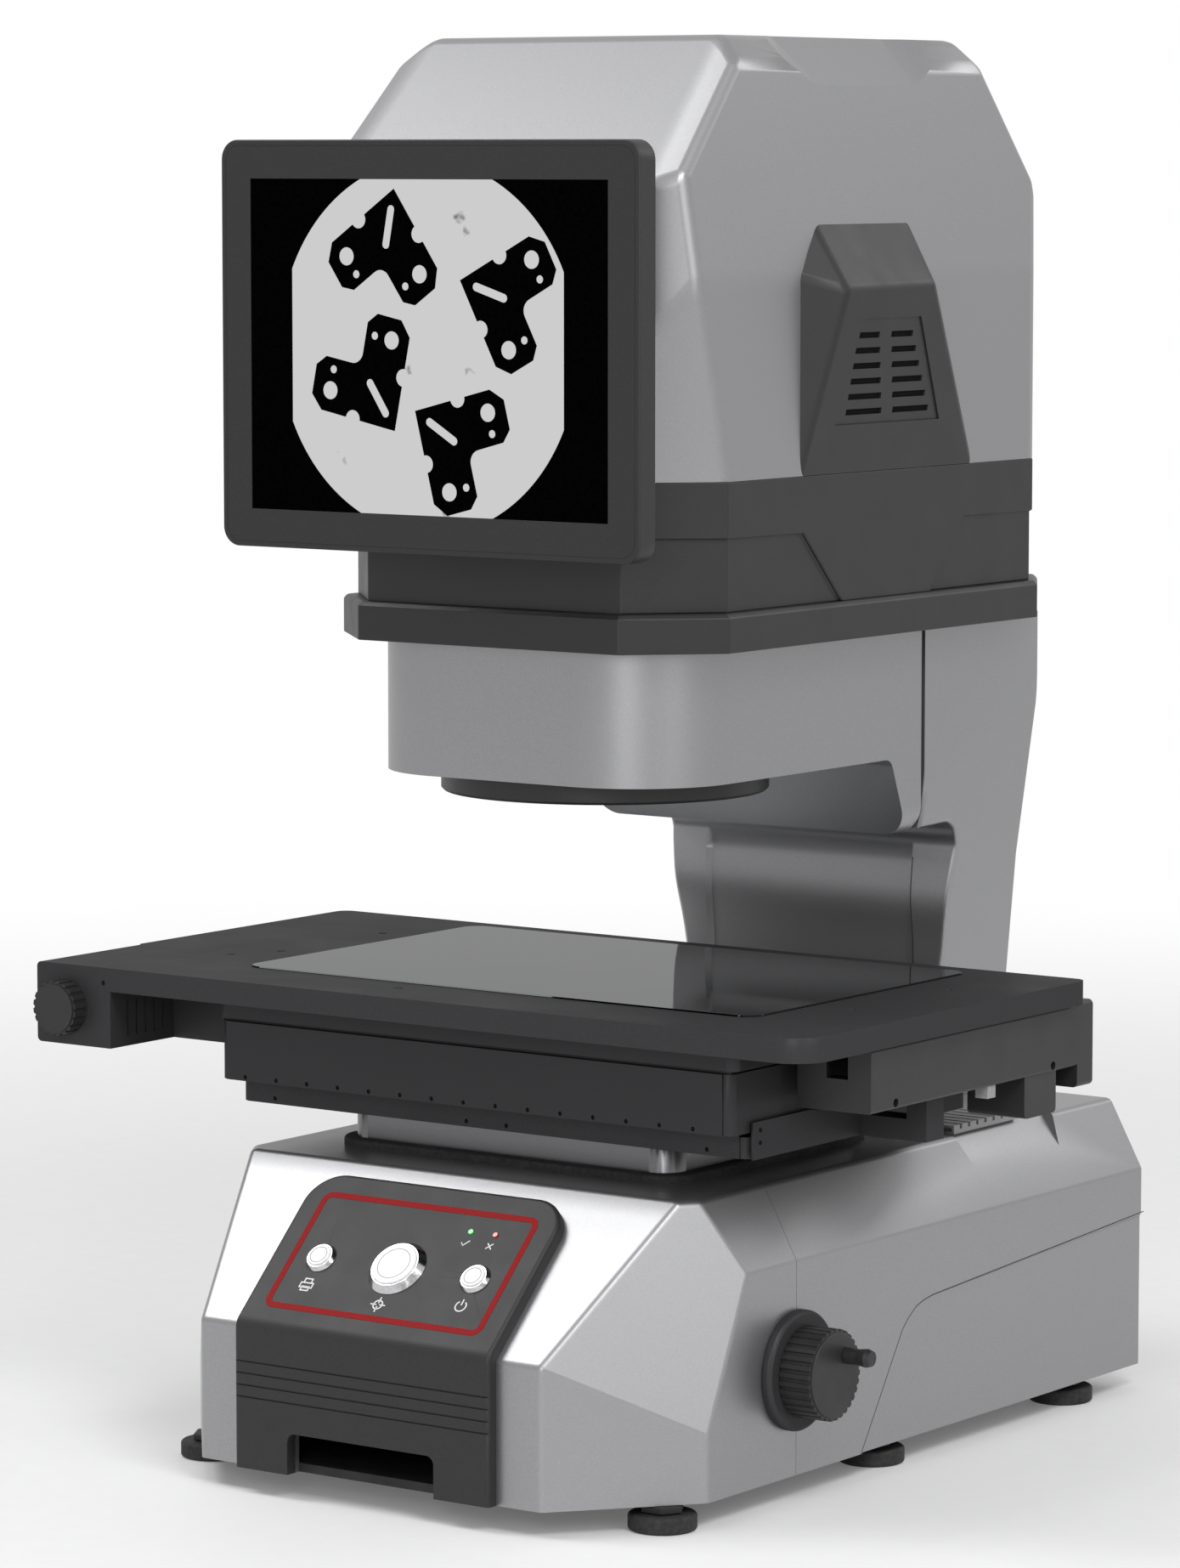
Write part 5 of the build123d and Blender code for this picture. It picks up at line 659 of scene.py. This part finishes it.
casting = piece("neck_casting", [(neck_casting(), IN_METRES)], silver_lacquer, "stand")
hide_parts("column_casting", "neck_panel")

# A near-black strip laid along the panel's right step is painted shade.
STEP_SHADE_LEFT = 73.3
STEP_SHADE_RIGHT = 73.9
STEP_SHADE_PROUD = -0.04
STEP_SHADE_SUNK = 0.3


def neck_step_shade():
    """A dark strip along the right edge of the neck's cover panel: painted shade of the step there."""
    mesh = bmesh.new()
    section = ((STEP_SHADE_LEFT, STEP_SHADE_PROUD), (STEP_SHADE_RIGHT, STEP_SHADE_PROUD), (STEP_SHADE_RIGHT, STEP_SHADE_SUNK),
               (STEP_SHADE_LEFT, STEP_SHADE_SUNK))
    join_loops(mesh, [[mesh.verts.new((x, y + out, z)) for x, out in section]
                      for y, z, share in neck_side() if share])
    bmesh.ops.recalc_face_normals(mesh, faces=mesh.faces[:])
    return mesh


# Near-black for thin strips: painted shade along the neck panel's step and the base's sweep ledges, and the
# seam round the display case.
shade_and_seam_black = Finish("shade_and_seam_black", tint(18, 18, 18), roughness=0.7)
shade_and_seam_black.colour(shade_and_seam_black.grain(900.0), tint(14, 14, 14), tint(22, 22, 22))
piece("neck_step_shade", [(neck_step_shade(), IN_METRES)], shade_and_seam_black, "stand", smooth=False)


# Sides of the base
# A lacquered rear cover with a shallow sweep pressed into each side. It is deepest at the back, under a
# slanted ledge. A thin dark strip along the edge of each ledge is painted shade.
def carve(mesh, cutters):
    """Takes the cutters away from a closed mesh."""
    holders = []
    for part in [mesh] + cutters:
        data = bpy.data.meshes.new("carving")
        part.to_mesh(data)
        part.free()
        holders.append(bpy.data.objects.new("carving", data))
        bpy.context.scene.collection.objects.link(holders[-1])
    for cutter in holders[1:]:
        cutting = holders[0].modifiers.new("cutting", "BOOLEAN")
        cutting.object = cutter
        cutting.solver = "EXACT"
    carved = bmesh.new()
    carved.from_object(holders[0], bpy.context.evaluated_depsgraph_get())
    for holder in holders:
        data = holder.data
        bpy.data.objects.remove(holder)
        bpy.data.meshes.remove(data)
    return carved


def from_node(name):
    """A copy of a CAD node's mesh to work on, without the normals that it came with."""
    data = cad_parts[name].data.copy()
    normals = data.attributes.get("custom_normal")
    if normals:
        data.attributes.remove(normals)
    mesh = bmesh.new()
    mesh.from_mesh(data)
    bpy.data.meshes.remove(data)
    bmesh.ops.remove_doubles(mesh, verts=mesh.verts[:], dist=1e-6)
    return mesh


BASE_SIDE = 178.5
SWEEP = ((-7.1, 5.0), (-1.0, 14.3), (41.7, 79.0), (47.9, 84.7), (56.2, 90.1), (63.5, 92.4), (73.3, 94.1),
         (330.0, 109.3))
SWEEP_CORNER = (330.0, 5.0)
SWEEP_FRONT = -7.1
SWEEP_REAR = 311.0
SWEEP_SHALLOW = 0.3
SWEEP_DEPTH = 2.9
SWEEP_LEDGE = 1.1
SWEEP_OUTSIDE = 3.0


def sweep_cutter(side):
    """The space over the recess, as three outlines: outside the face, on the face, and on the floor."""
    mesh = bmesh.new()
    loops = []
    corners = [Vector(corner) for corner in SWEEP + (SWEEP_CORNER,)]
    for out, sunk in ((SWEEP_OUTSIDE, 0.0), (0.0, 0.0), (0.0, 1.0)):
        loop = []
        for index, corner in enumerate(corners):
            share = (corner.x - SWEEP_FRONT) / (SWEEP_REAR - SWEEP_FRONT)
            depth = SWEEP_SHALLOW + (SWEEP_DEPTH - SWEEP_SHALLOW) * share
            run = (corners[min(index + 1, len(SWEEP) - 1)] - corners[max(index - 1, 0)]).normalized()
            ledge = depth * SWEEP_LEDGE * sunk if index < len(SWEEP) else 0.0
            loop.append(mesh.verts.new((side * (BASE_SIDE + out - depth * sunk), corner.x + run.y * ledge,
                                        corner.y - run.x * ledge)))
        loops.append(loop)
    join_loops(mesh, loops)
    bmesh.ops.triangulate(mesh, faces=mesh.faces[:])
    bmesh.ops.recalc_face_normals(mesh, faces=mesh.faces[:])
    mesh.transform(IN_METRES)
    return mesh


swept_cover = carve(from_node("base_rear_cover"), [sweep_cutter(1), sweep_cutter(-1)])
rear_cover = piece("swept_rear_cover", [(swept_cover, Matrix())], silver_lacquer, "stand",
                   crease=20)
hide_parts("base_rear_cover")

FACING_RIGHT = Matrix(((0, 0, 1, 0), (1, 0, 0, 0), (0, 1, 0, 0), (0, 0, 0, 1)))
# A near-black strip along the edge of each ledge, painted shade.
LEDGE_SHADE_COURSE = [*SWEEP[1:-1], (310.4, 108.1)]
LEDGE_SHADE_WIDTH = 0.5
LEDGE_SHADE_THICKNESS = 0.1
ledge_shade_line = cut_sheet([stroke(LEDGE_SHADE_COURSE, LEDGE_SHADE_WIDTH)], LEDGE_SHADE_THICKNESS)
piece("sweep_ledge_shade", [(ledge_shade_line, Matrix.Translation(at(side * BASE_SIDE, 0, 0)) @ FACING_RIGHT)
                      for side in (1, -1)], shade_and_seam_black, "stand", smooth=False)


# Head cover
# A moulded and lacquered shell with broad rounded edges. A scallop with slanted ends is pressed into each
# upper edge.
def box_mesh(x0, x1, y0, y1, z0, z1):
    """A closed box between these limits."""
    mesh = bmesh.new()
    middle = Matrix.Translation(((x0 + x1) / 2, (y0 + y1) / 2, (z0 + z1) / 2))
    bmesh.ops.create_cube(mesh, size=1.0, matrix=middle @ Matrix.Diagonal((x1 - x0, y1 - y0, z1 - z0, 1.0)))
    return mesh


HEAD_HALF = 131.0
HEAD_FRONT = -112.0
HEAD_REAR = 296.0
HEAD_FOOT = 564.5
HEAD_ROOF = 810.0
HEAD_INSIDE = (0, 60, 650)
HEAD_SLOPES = (((0, -112, 729), (0, -33, 808), (10, -112, 729)),
               ((0, 204, 810), (0, 255, 739.4), (10, 204, 810)))
HEAD_SHOULDERS = (((131, 0, 674.5), (118, 0, 794.5), (131, 50, 674.5)),
                  ((118, 0, 794.5), (105, 0, 810), (118, 50, 794.5)))
HEAD_CHEEKS = (((103.2, -34.3, 805.8), (103.3, -86.2, 754.6), (122.6, -30.8, 802.2)),
               ((131, -66, 564.5), (90, -110.5, 564.5), (131, -95, 675)),
               ((131, -95, 600), (108, -112, 600), (131, -95, 700)),
               ((131, 252.8, 600), (102, 296, 600), (131, 252.8, 700)))
HEAD_ROUND = 5.5
HEAD_TURN = 0.1
HEAD_SHORTEST = 5.0
SCALLOP_LOW = (119.27, 782.8)
SCALLOP_HIGH = (92.3, 810.0)
SCALLOP_SHOULDER = (118.0, 794.5)
SCALLOP_MARKS = (10.3, 38.6, 139.0, 162.7)
SCALLOP_LEAN = 6.8
WEDGE_INNER = 5
WEDGE_OUTER = 30
WEDGE_ENDS = 15
WEDGE_BELOW = 10
WEDGE_ABOVE = 15


def rounded_edge(edge):
    """True for every edge of the cover except those round its foot."""
    top = max(corner.co.z for corner in edge.verts)
    return edge.calc_face_angle(0) > HEAD_TURN and top > HEAD_FOOT + 1


def scallop_cutters():
    """One wedge on each side: a slanted floor between two slanted ends."""
    low_x, low_z = SCALLOP_LOW
    high_x, high_z = SCALLOP_HIGH
    start, first, last, stop = SCALLOP_MARKS
    shoulder_x, shoulder_z = SCALLOP_SHOULDER
    inside = (low_x + 8, (first + last) / 2, high_z)
    faces = (((low_x, 0, low_z), (high_x, 0, high_z), (low_x, 50, low_z)),
             ((low_x, first, low_z), (high_x, first - SCALLOP_LEAN, high_z), (shoulder_x, start, shoulder_z)),
             ((low_x, last, low_z), (high_x, last + SCALLOP_LEAN, high_z), (shoulder_x, stop, shoulder_z)))
    cutters = []
    for side in (1, -1):
        across = sorted((side * (high_x - WEDGE_INNER), side * (low_x + WEDGE_OUTER)))
        wedge = box_mesh(*across, start - WEDGE_ENDS, stop + WEDGE_ENDS, low_z - WEDGE_BELOW,
                         high_z + WEDGE_ABOVE)
        trim(wedge, on_side(side, inside, faces))
        cutters.append(wedge)
    return cutters


cover = box_mesh(-HEAD_HALF, HEAD_HALF, HEAD_FRONT, HEAD_REAR, HEAD_FOOT, HEAD_ROOF)
cover_planes = on_side(1, HEAD_INSIDE, HEAD_SLOPES)
for face in HEAD_SHOULDERS + HEAD_CHEEKS:
    cover_planes += both_sides(HEAD_INSIDE, *face)
trim(cover, cover_planes)
bmesh.ops.remove_doubles(cover, verts=cover.verts[:], dist=HEAD_SHORTEST)
soften(cover, HEAD_ROUND, 6, rounded_edge)
head = piece("head_shell", [(carve(cover, scallop_cutters()), IN_METRES)], silver_lacquer, "stand")
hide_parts("head_cover")


# Lens under the head
# A coated front lens in a black turned tube, held by a thin retaining ring, inside a ring lamp behind a
# milky diffuser. The camera stands on the tube inside the head.
clear_lens = Finish("coated_lens", tint(236, 242, 250), clear=1.0, ior=1.52)
clear_lens.level("roughness", 0.01 + 0.02 * clear_lens.grain(40.0, 5.0))
dress(clear_lens, "objective_lens", "collimator_lens")

lens_black = Finish("lens_black", tint(40, 40, 41), metallic=0.4)
rings = lens_black.grain(160.0, 2.0, (1.0, 1.0, 14.0))
lens_black.colour(rings, tint(34, 34, 35), tint(50, 50, 51))
lens_black.level("roughness", 0.42 + 0.12 * rings)
dress(lens_black, "lens_barrel", "camera_body", "backlight_lamp")

milky_diffuser = Finish("milky_diffuser", tint(224, 226, 228), gloss=0.4)
milky_diffuser.colour(milky_diffuser.grain(160.0, 4.0), tint(214, 217, 220), tint(232, 234, 236))
milky_diffuser.level("roughness", 0.5 + 0.2 * milky_diffuser.grain(900.0))
dress(milky_diffuser, "ring_light_diffuser")

RETAINING_RING = [(60.0, 384.0), (65.6, 384.0), (65.6, 385.2), (61.0, 385.2)]
retaining = turned(RETAINING_RING, 96)
piece("lens_retaining_ring", [(retaining, Matrix.Translation(at(0, 0, 0)))], lens_black, "stand")


# Lip, belt and vent covers of the head
# Charcoal lacquered mouldings. Near-black sheets behind the louvres darken the slots as painted shade.
charcoal_lacquer = Finish("charcoal_lacquer", tint(38, 38, 39), gloss=0.4, coat=0.05, coat_roughness=0.3)
grit = charcoal_lacquer.grain(1700.0, 2.0)
charcoal_lacquer.colour(grit, tint(33, 33, 34), tint(42, 42, 43))
charcoal_lacquer.level("roughness", 0.38 + 0.1 * charcoal_lacquer.grain(40.0, 4.0))
charcoal_lacquer.relief(grit, 0.00003, 0.5)
dress(charcoal_lacquer, "head_lip", "head_belt", "vent_covers", "ring_light_housing", "display_bracket",
      "rear_port_panel", "right_drive_box", "right_end_plate")

# A near-black sheet behind the slots: painted shade of the hollow inside the vents.
slot_shade = Finish("slot_shade_sheet", tint(14, 14, 14), gloss=0.1)
slot_shade.colour(slot_shade.grain(1500.0, 3.0), tint(8, 8, 8), tint(20, 20, 20))
slot_shade.level("roughness", 0.8 + 0.15 * slot_shade.grain(600.0))
HOOD_RIDGE = (150.7, 670.0)
HOOD_INNER = 111.0
HOOD_OUTER = 155.7
HOOD_FRONT = -0.5
HOOD_REAR = 191.2
HOOD_TOP = 709.8
HOOD_INSIDE = (133, 70, 620)
HOOD_FACES = (((131, 0, 564.5), (131, 50, 564.5), (150.7, 0, 670)),
              ((127.72, 0, 704.8), (127.72, 50, 704.8), (150.7, 0, 670)),
              ((131, 4.5, 564.5), (131, 4.5, 670), (150.7, 24.2, 670)),
              ((127.72, 24.2, 704.8), (131, 4.5, 676), (150.7, 25.2, 670)),
              ((131, 186.2, 564.5), (150.7, 115, 670), (131, 134.7, 670)))
HOOD_ROUND = 6.0
HOOD_TURN = 0.15
HOOD_SHORTEST = 4.0
VENT_LEAN = (HOOD_RIDGE[0] - HEAD_HALF) / (HOOD_RIDGE[1] - HEAD_FOOT)
RECESS = [(32, 592), (141, 592), (104, 652), (45, 652)]
RECESS_FLOOR = -1.0
CUT_OUTSIDE = 8.0
SLOT_ROWS = 6
SLOT_PITCH = 8.7
SLOT_TOP_ROW = 642.5
SLOT_HALF = 1.7
SLOT_FLOOR = -3.2
SLOTS_FRONT = ((42.6, 42.6), (64.8, 79.4))
SLOTS_BACK = ((77.0, 90.9), (99.5, 128.4))
SLOT_SHADE_EDGE = (38.0, 594.0, 130.0, 647.0)
SLOT_SHADE_FACE = -2.4


def vent_slab(side, corners, outer, inner):
    """A slab along the leaning face of the hood, between two distances out from that face."""
    mesh = bmesh.new()
    points = [mesh.verts.new((side * (HEAD_HALF + (z - HEAD_FOOT) * VENT_LEAN + out), y, z))
              for out in (outer, inner) for y, z in corners]
    bmesh.ops.convex_hull(mesh, input=points)
    bmesh.ops.recalc_face_normals(mesh, faces=mesh.faces[:])
    return mesh


def vent_slots(side):
    """Two columns of slots that widen from the upper row to the lower one."""
    slots = []
    for row in range(SLOT_ROWS):
        share = row / (SLOT_ROWS - 1)
        z = SLOT_TOP_ROW - row * SLOT_PITCH
        for start, stop in (SLOTS_FRONT, SLOTS_BACK):
            y0 = start[0] + (start[1] - start[0]) * share
            y1 = stop[0] + (stop[1] - stop[0]) * share
            slot = box_line(y0, z - SLOT_HALF, y1, z + SLOT_HALF)
            slots.append(vent_slab(side, slot, CUT_OUTSIDE, SLOT_FLOOR))
    return slots


def rounded_hood(edge):
    """True for an edge of the hood that shows: not at its foot, and not inside the head cover."""
    inner = min(abs(corner.co.x) for corner in edge.verts)
    top = max(corner.co.z for corner in edge.verts)
    return edge.calc_face_angle(0) > HOOD_TURN and inner > HOOD_INNER + 1 and top > HEAD_FOOT + 1


def vent_hood(side):
    """A hood with a leaning face, rounded over, with a sunk field of slots."""
    across = sorted((side * HOOD_INNER, side * HOOD_OUTER))
    hood = box_mesh(*across, HOOD_FRONT, HOOD_REAR, HEAD_FOOT, HOOD_TOP)
    trim(hood, on_side(side, HOOD_INSIDE, HOOD_FACES))
    bmesh.ops.remove_doubles(hood, verts=hood.verts[:], dist=HOOD_SHORTEST)
    soften(hood, HOOD_ROUND, 6, rounded_hood)
    recess = vent_slab(side, RECESS, CUT_OUTSIDE, RECESS_FLOOR)
    return carve(hood, [recess] + vent_slots(side))


hoods = piece("vent_hoods", [(vent_hood(side), IN_METRES) for side in (1, -1)], charcoal_lacquer, "stand")
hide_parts("vent_covers")
slot_shade_sheets = [(vent_slab(side, box_line(*SLOT_SHADE_EDGE), SLOT_SHADE_FACE, SLOT_FLOOR), IN_METRES) for side in (1, -1)]
piece("slot_shade_sheet", slot_shade_sheets, slot_shade, "stand", smooth=False)


# Display
# A 12 inch panel behind glass in a charcoal case. It shows a backlit round field with the black outlines of
# four flat angle brackets, which is how such a machine shows the pieces that it measures.
screen_black = Finish("screen_black", tint(3, 3, 4), gloss=0.0)
screen_black.colour(screen_black.grain(500.0), tint(2, 2, 2), tint(5, 5, 5))
screen_black.level("roughness", 0.12 + 0.05 * screen_black.grain(30.0, 4.0))
dress(screen_black, "display_glass")

DISPLAY_FACE = -169.1
SCREEN_MIDDLE = 638.3
SCREEN_HALF_HEIGHT = 92.0
FIELD_RADIUS = 102.6
FIELD_HALF = 93.4
FIELD_LIFT = -0.35
OUTLINE_LIFT = -0.25
SHOWN_SHEET = 0.1
FACING_FRONT = Matrix(((1, 0, 0, 0), (0, 0, -1, 0), (0, 1, 0, 0), (0, 0, 0, 1)))


def on_screen(x, z, turn=0.0, lift=0.0):
    """A place on the face of the display: local X runs across, Y up and Z towards the viewer."""
    spin = Matrix.Rotation(math.radians(turn), 4, "Z")
    return Matrix.Translation(at(x, DISPLAY_FACE - lift, z)) @ FACING_FRONT @ spin


def field_outline():
    """A circle cut off by two upright sides and by the screen's upper and lower edges."""
    side = math.degrees(math.acos(FIELD_HALF / FIELD_RADIUS))
    top = math.degrees(math.asin(SCREEN_HALF_HEIGHT / FIELD_RADIUS))
    points = []
    for quarter in ((side, top), (180 - top, 180 - side), (180 + side, 180 + top), (360 - top, 360 - side)):
        points += arc(0, 0, FIELD_RADIUS, *quarter, 16)
    return points


lit_field = Finish("lit_field", (0.0, 0.0, 0.0, 1.0), roughness=0.4, glow=1.0, gloss=0.0)
smudge = lit_field.node("MapRange", {}, {"Value": lit_field.grain(34.0, 5.0), 1: 0.1, 2: 0.0})
fibres = lit_field.grain(60.0, 3.0, (0.5, 1.0, 5.0))
scratch = lit_field.node("MapRange", {}, {"Value": fibres, 1: 0.97, 2: 0.9})
lit_field.level("lamp", lit_field.mix(smudge * scratch, tint(205, 205, 205), tint(120, 120, 120)))
field = cut_sheet([field_outline()], SHOWN_SHEET)
piece("screen_field", [(field, on_screen(0, SCREEN_MIDDLE, lift=FIELD_LIFT))], lit_field, "stand",
      smooth=False)

BRACKET_EDGE = ([(0, 0), (25.1, 0)] + arc(30, 0, 4.9, 180, 0, 12) + [(52.5, 0), (60.7, 7.5), (60.7, 24.2)]
                + [(54.7, 30.1), (37.1, 30.1)] + arc(37.1, 36.9, 6.8, 270, 180, 8)[1:]
                + [(30.1, 54.7), (24.2, 60.7), (7.5, 60.7), (0, 52.5)] + arc(0, 30, 4.9, 90, -90, 12))
BRACKET_SLOT = arc(22, 22, 2.35, -45, 135, 10) + arc(8.2, 8.2, 2.35, 135, 315, 10)
BRACKET_HOLES = [arc(48.4, 12, 5.0)[::-1], arc(48.4, 23.9, 2.2)[::-1], arc(12, 48.4, 5.0)[::-1],
                 arc(23.9, 48.4, 2.2)[::-1], BRACKET_SLOT[::-1]]
BRACKET_PLACES = ((-21.9, 725.2, -145.4), (23.5, 675.6, -62.5), (-21.7, 592.2, 78.4), (-7.6, 603.7, -75.8))
shown_bracket = cut_sheet([BRACKET_EDGE] + BRACKET_HOLES, SHOWN_SHEET)
shown_brackets = [(shown_bracket, on_screen(x, z, turn, OUTLINE_LIFT)) for x, z, turn in BRACKET_PLACES]
piece("screen_brackets", shown_brackets, screen_black, "stand", smooth=False)

CASE_SEAM = (140.6, 110.4, 9.0, 0.5)
CASE_SEAM_LIFT = 0.03
case_line = cut_sheet(loop_line(*CASE_SEAM), 0.06)
piece("display_seam", [(case_line, on_screen(0, SCREEN_MIDDLE, lift=CASE_SEAM_LIFT))], shade_and_seam_black, "stand",
      smooth=False)


# Stage
# Black anodised plates with a polished glass let into the top plate, on a satin aluminium pedestal. The
# lower rails are blackened steel, and small socket screws hold the thin faces of the carriages.
satin_aluminium = Finish("satin_aluminium", tint(120, 120, 122), metallic=1.0)
satin = satin_aluminium.grain(260.0, 3.0, (1.0, 1.0, 6.0))
satin_aluminium.colour(satin, tint(117, 117, 119), tint(122, 122, 124))
satin_aluminium.level("roughness", 0.3 + 0.03 * satin)
dress(satin_aluminium, "pedestal")

# The glass is drawn as a mirror metal. Its top face gets a lighter colour than its edges, chosen by which way
# each face points: painted reflection on the top and painted shade on the edges.
glass_painted_reflection = Finish("glass_painted_reflection", tint(150, 152, 153), metallic=1.0, gloss=0.0, edge=(0.5, 0.5, 0.5, 1.0))
glass_painted_reflection.level("roughness", 0.02 + 0.03 * glass_painted_reflection.grain(16.0, 4.0))
facing = glass_painted_reflection.node("NewGeometry", {}, {}, "Normal")
reflecting_top = glass_painted_reflection.node("SeparateXYZ", {}, {0: facing}, 2).over(0.9)
top_reflection_tone = glass_painted_reflection.mix(glass_painted_reflection.grain(9.0, 3.0), tint(147, 149, 150), tint(153, 155, 156))
glass_painted_reflection.colour(reflecting_top, tint(40, 42, 42), top_reflection_tone)
dress(glass_painted_reflection, "stage_glass")

black_oxide = Finish("black_oxide", tint(30, 30, 31), metallic=0.7)
black_oxide.colour(black_oxide.grain(700.0, 3.0), tint(24, 24, 25), tint(40, 40, 42))
black_oxide.level("roughness", 0.35 + 0.15 * black_oxide.grain(200.0))
dress(black_oxide, "y_rails", "y_blocks")

black_screw = Finish("black_screw", tint(14, 14, 14), gloss=0.1)
black_screw.colour(black_screw.grain(900.0), tint(10, 10, 10), tint(18, 18, 18))
black_screw.level("roughness", 0.6 + 0.1 * black_screw.grain(500.0))
HEAD_EDGE = 0.25
SOCKET_FLOOR = 0.35
SOCKET_TAPER = 0.98


def socket_screw(radius, head, key):
    """A cylinder-head screw with its hexagon socket, standing on Z = 0."""
    floor = head * SOCKET_FLOOR
    mesh = turned([(0, 0), (radius, 0), (radius, head - HEAD_EDGE), (radius - HEAD_EDGE, head),
                   (key, head)], 24)
    recess = turned([(key, head), (key * SOCKET_TAPER, floor), (0, floor)], 6)
    data = bpy.data.meshes.new("socket")
    recess.to_mesh(data)
    mesh.from_mesh(data)
    bpy.data.meshes.remove(data)
    return mesh


FACE_SHEET = 1.0
MIDDLE_FRONT = -132.0
MIDDLE_EDGE = (-173.4, 213.0, 173.4, 246.9)
MIDDLE_SCREW_ROW = 215.3
MIDDLE_SCREW_START = -137.1
MIDDLE_SCREW_STEP = 22.4
MIDDLE_SCREWS = [-159.8] + [MIDDLE_SCREW_START + MIDDLE_SCREW_STEP * index for index in range(14)]
LOWER_FRONT = -114.0
LOWER_EDGE = (-172.4, 198.1, 172.4, 212.4)
LOWER_SCREW_ROW = 201.3
LOWER_SCREWS = (-152.3, -14.0, 14.0, 151.0)
SCREW_BORE = 1.35
SCREW_HEAD = 0.55
SCREW_KEY = 0.6


def face_sheet(front, edge, screws, row):
    """A thin upright sheet with a row of screw holes, and a screw in each hole."""
    holes = [arc(x, row, SCREW_BORE, steps=16)[::-1] for x in screws]
    sheet = cut_sheet([box_line(*edge)] + holes, FACE_SHEET)
    place = Matrix.Translation(at(0, front - FACE_SHEET / 2, 0)) @ FACING_FRONT
    heads = [(socket_screw(SCREW_BORE - 0.1, SCREW_HEAD, SCREW_KEY), seat(x, front, row, (0, -1, 0)))
             for x in screws]
    return (sheet, place), heads


middle_sheet, middle_heads = face_sheet(MIDDLE_FRONT, MIDDLE_EDGE, MIDDLE_SCREWS, MIDDLE_SCREW_ROW)
piece("middle_carriage_face", [middle_sheet], black_anodised, "y_slide", smooth=False)
piece("middle_carriage_screws", middle_heads, black_screw, "y_slide")
lower_sheet, lower_heads = face_sheet(LOWER_FRONT, LOWER_EDGE, LOWER_SCREWS, LOWER_SCREW_ROW)
piece("lower_carriage_face", [lower_sheet], black_anodised, "lift", smooth=False)
piece("lower_carriage_screws", lower_heads, black_screw, "lift")

SIDE_PLATE = [(-114.8, 198.1), (-4.0, 198.1), (-4.0, 212.4), (-60.0, 218.9), (-114.8, 218.9)]
SIDE_PLATE_X = 181.0
SIDE_PLATE_THICKNESS = 1.6
SIDE_PLATE_SCREWS = ((-108.0, 214.0), (-108.0, 207.0))
SIDE_SCREW_RADIUS = 1.25
SIDE_SCREW_HEAD = 0.5
side_sheet = cut_sheet([SIDE_PLATE], SIDE_PLATE_THICKNESS)
piece("lower_carriage_side", [(side_sheet, Matrix.Translation(at(SIDE_PLATE_X, 0, 0)) @ FACING_RIGHT)],
      black_anodised, "lift", smooth=False)
side_heads = [(socket_screw(SIDE_SCREW_RADIUS, SIDE_SCREW_HEAD, SCREW_KEY),
               seat(SIDE_PLATE_X + SIDE_PLATE_THICKNESS / 2, y, z, (1, 0, 0))) for y, z in SIDE_PLATE_SCREWS]
piece("lower_carriage_side_screws", side_heads, black_screw, "lift")

RAIL_SETBACK = 0.4
RAIL_END = at(0, LOWER_FRONT + RAIL_SETBACK, 0).y
rails = from_node("y_rails")
for corner in rails.verts:
    corner.co.y = max(corner.co.y, RAIL_END)
short_rails = piece("trimmed_y_rails", [(rails, Matrix())], black_oxide, "lift")
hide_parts("y_rails")

RAISED = 4.2
BOX_CEILING = 0.2525


def raised(name):
    """A copy of a CAD node whose upper part stands higher, close under the table plate."""
    mesh = from_node(name)
    for corner in mesh.verts:
        if corner.co.z > BOX_CEILING:
            corner.co.z += RAISED / 1000
    return mesh


for name, node in (("tall_drive_box", "right_drive_box"), ("tall_end_plate", "right_end_plate")):
    taller = piece(name, [(raised(node), Matrix())], charcoal_lacquer, "y_slide")
    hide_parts(node)


def ease(name, width):
    """Breaks the sharp edges of a CAD node with a small round, as deburring does."""
    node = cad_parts[name]
    joined = node.modifiers.new("joined_corners", "WELD")
    joined.merge_threshold = 0.00001
    broken = node.modifiers.new("broken_edges", "BEVEL")
    broken.width = width / 1000
    broken.segments = 2
    broken.limit_method = "ANGLE"
    broken.angle_limit = math.radians(40)
    broken.harden_normals = True


EASED = {"table_plate": 0.7, "left_drive_box": 0.7, "middle_carriage": 0.4, "x_guide_frame": 0.4,
         "head_lip": 1.0, "head_belt": 1.0, "front_trim": 0.5, "display_housing": 0.5, "pedestal": 0.5,
         "handwheel_flange": 0.5}
for name, width in EASED.items():
    ease(name, width)


# Small plastics and belt
# The cable chain and the limit switch, which hangs under the right drive box, are of light grey plastic. The
# drive belt is black rubber.
grey_plastic = Finish("grey_plastic", tint(150, 150, 150), gloss=0.4)
grey_plastic.colour(grey_plastic.grain(800.0), tint(142, 142, 142), tint(158, 158, 158))
grey_plastic.level("roughness", 0.45 + 0.1 * grey_plastic.grain(90.0))
dress(grey_plastic, "cable_chain")
dress(moulded_rubber, "x_belt")

SWITCH_SHARES = Vector((1.0, 0.5, 0.65))
switch = from_node("limit_sensor")
switch_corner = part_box("limit_sensor")[1]
for corner in switch.verts:
    corner.co = Vector([high - (high - value) * share for value, high, share
                        in zip(corner.co, switch_corner, SWITCH_SHARES)])
small_switch = piece("small_limit_switch", [(switch, Matrix())], grey_plastic, "y_slide")
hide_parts("limit_sensor")
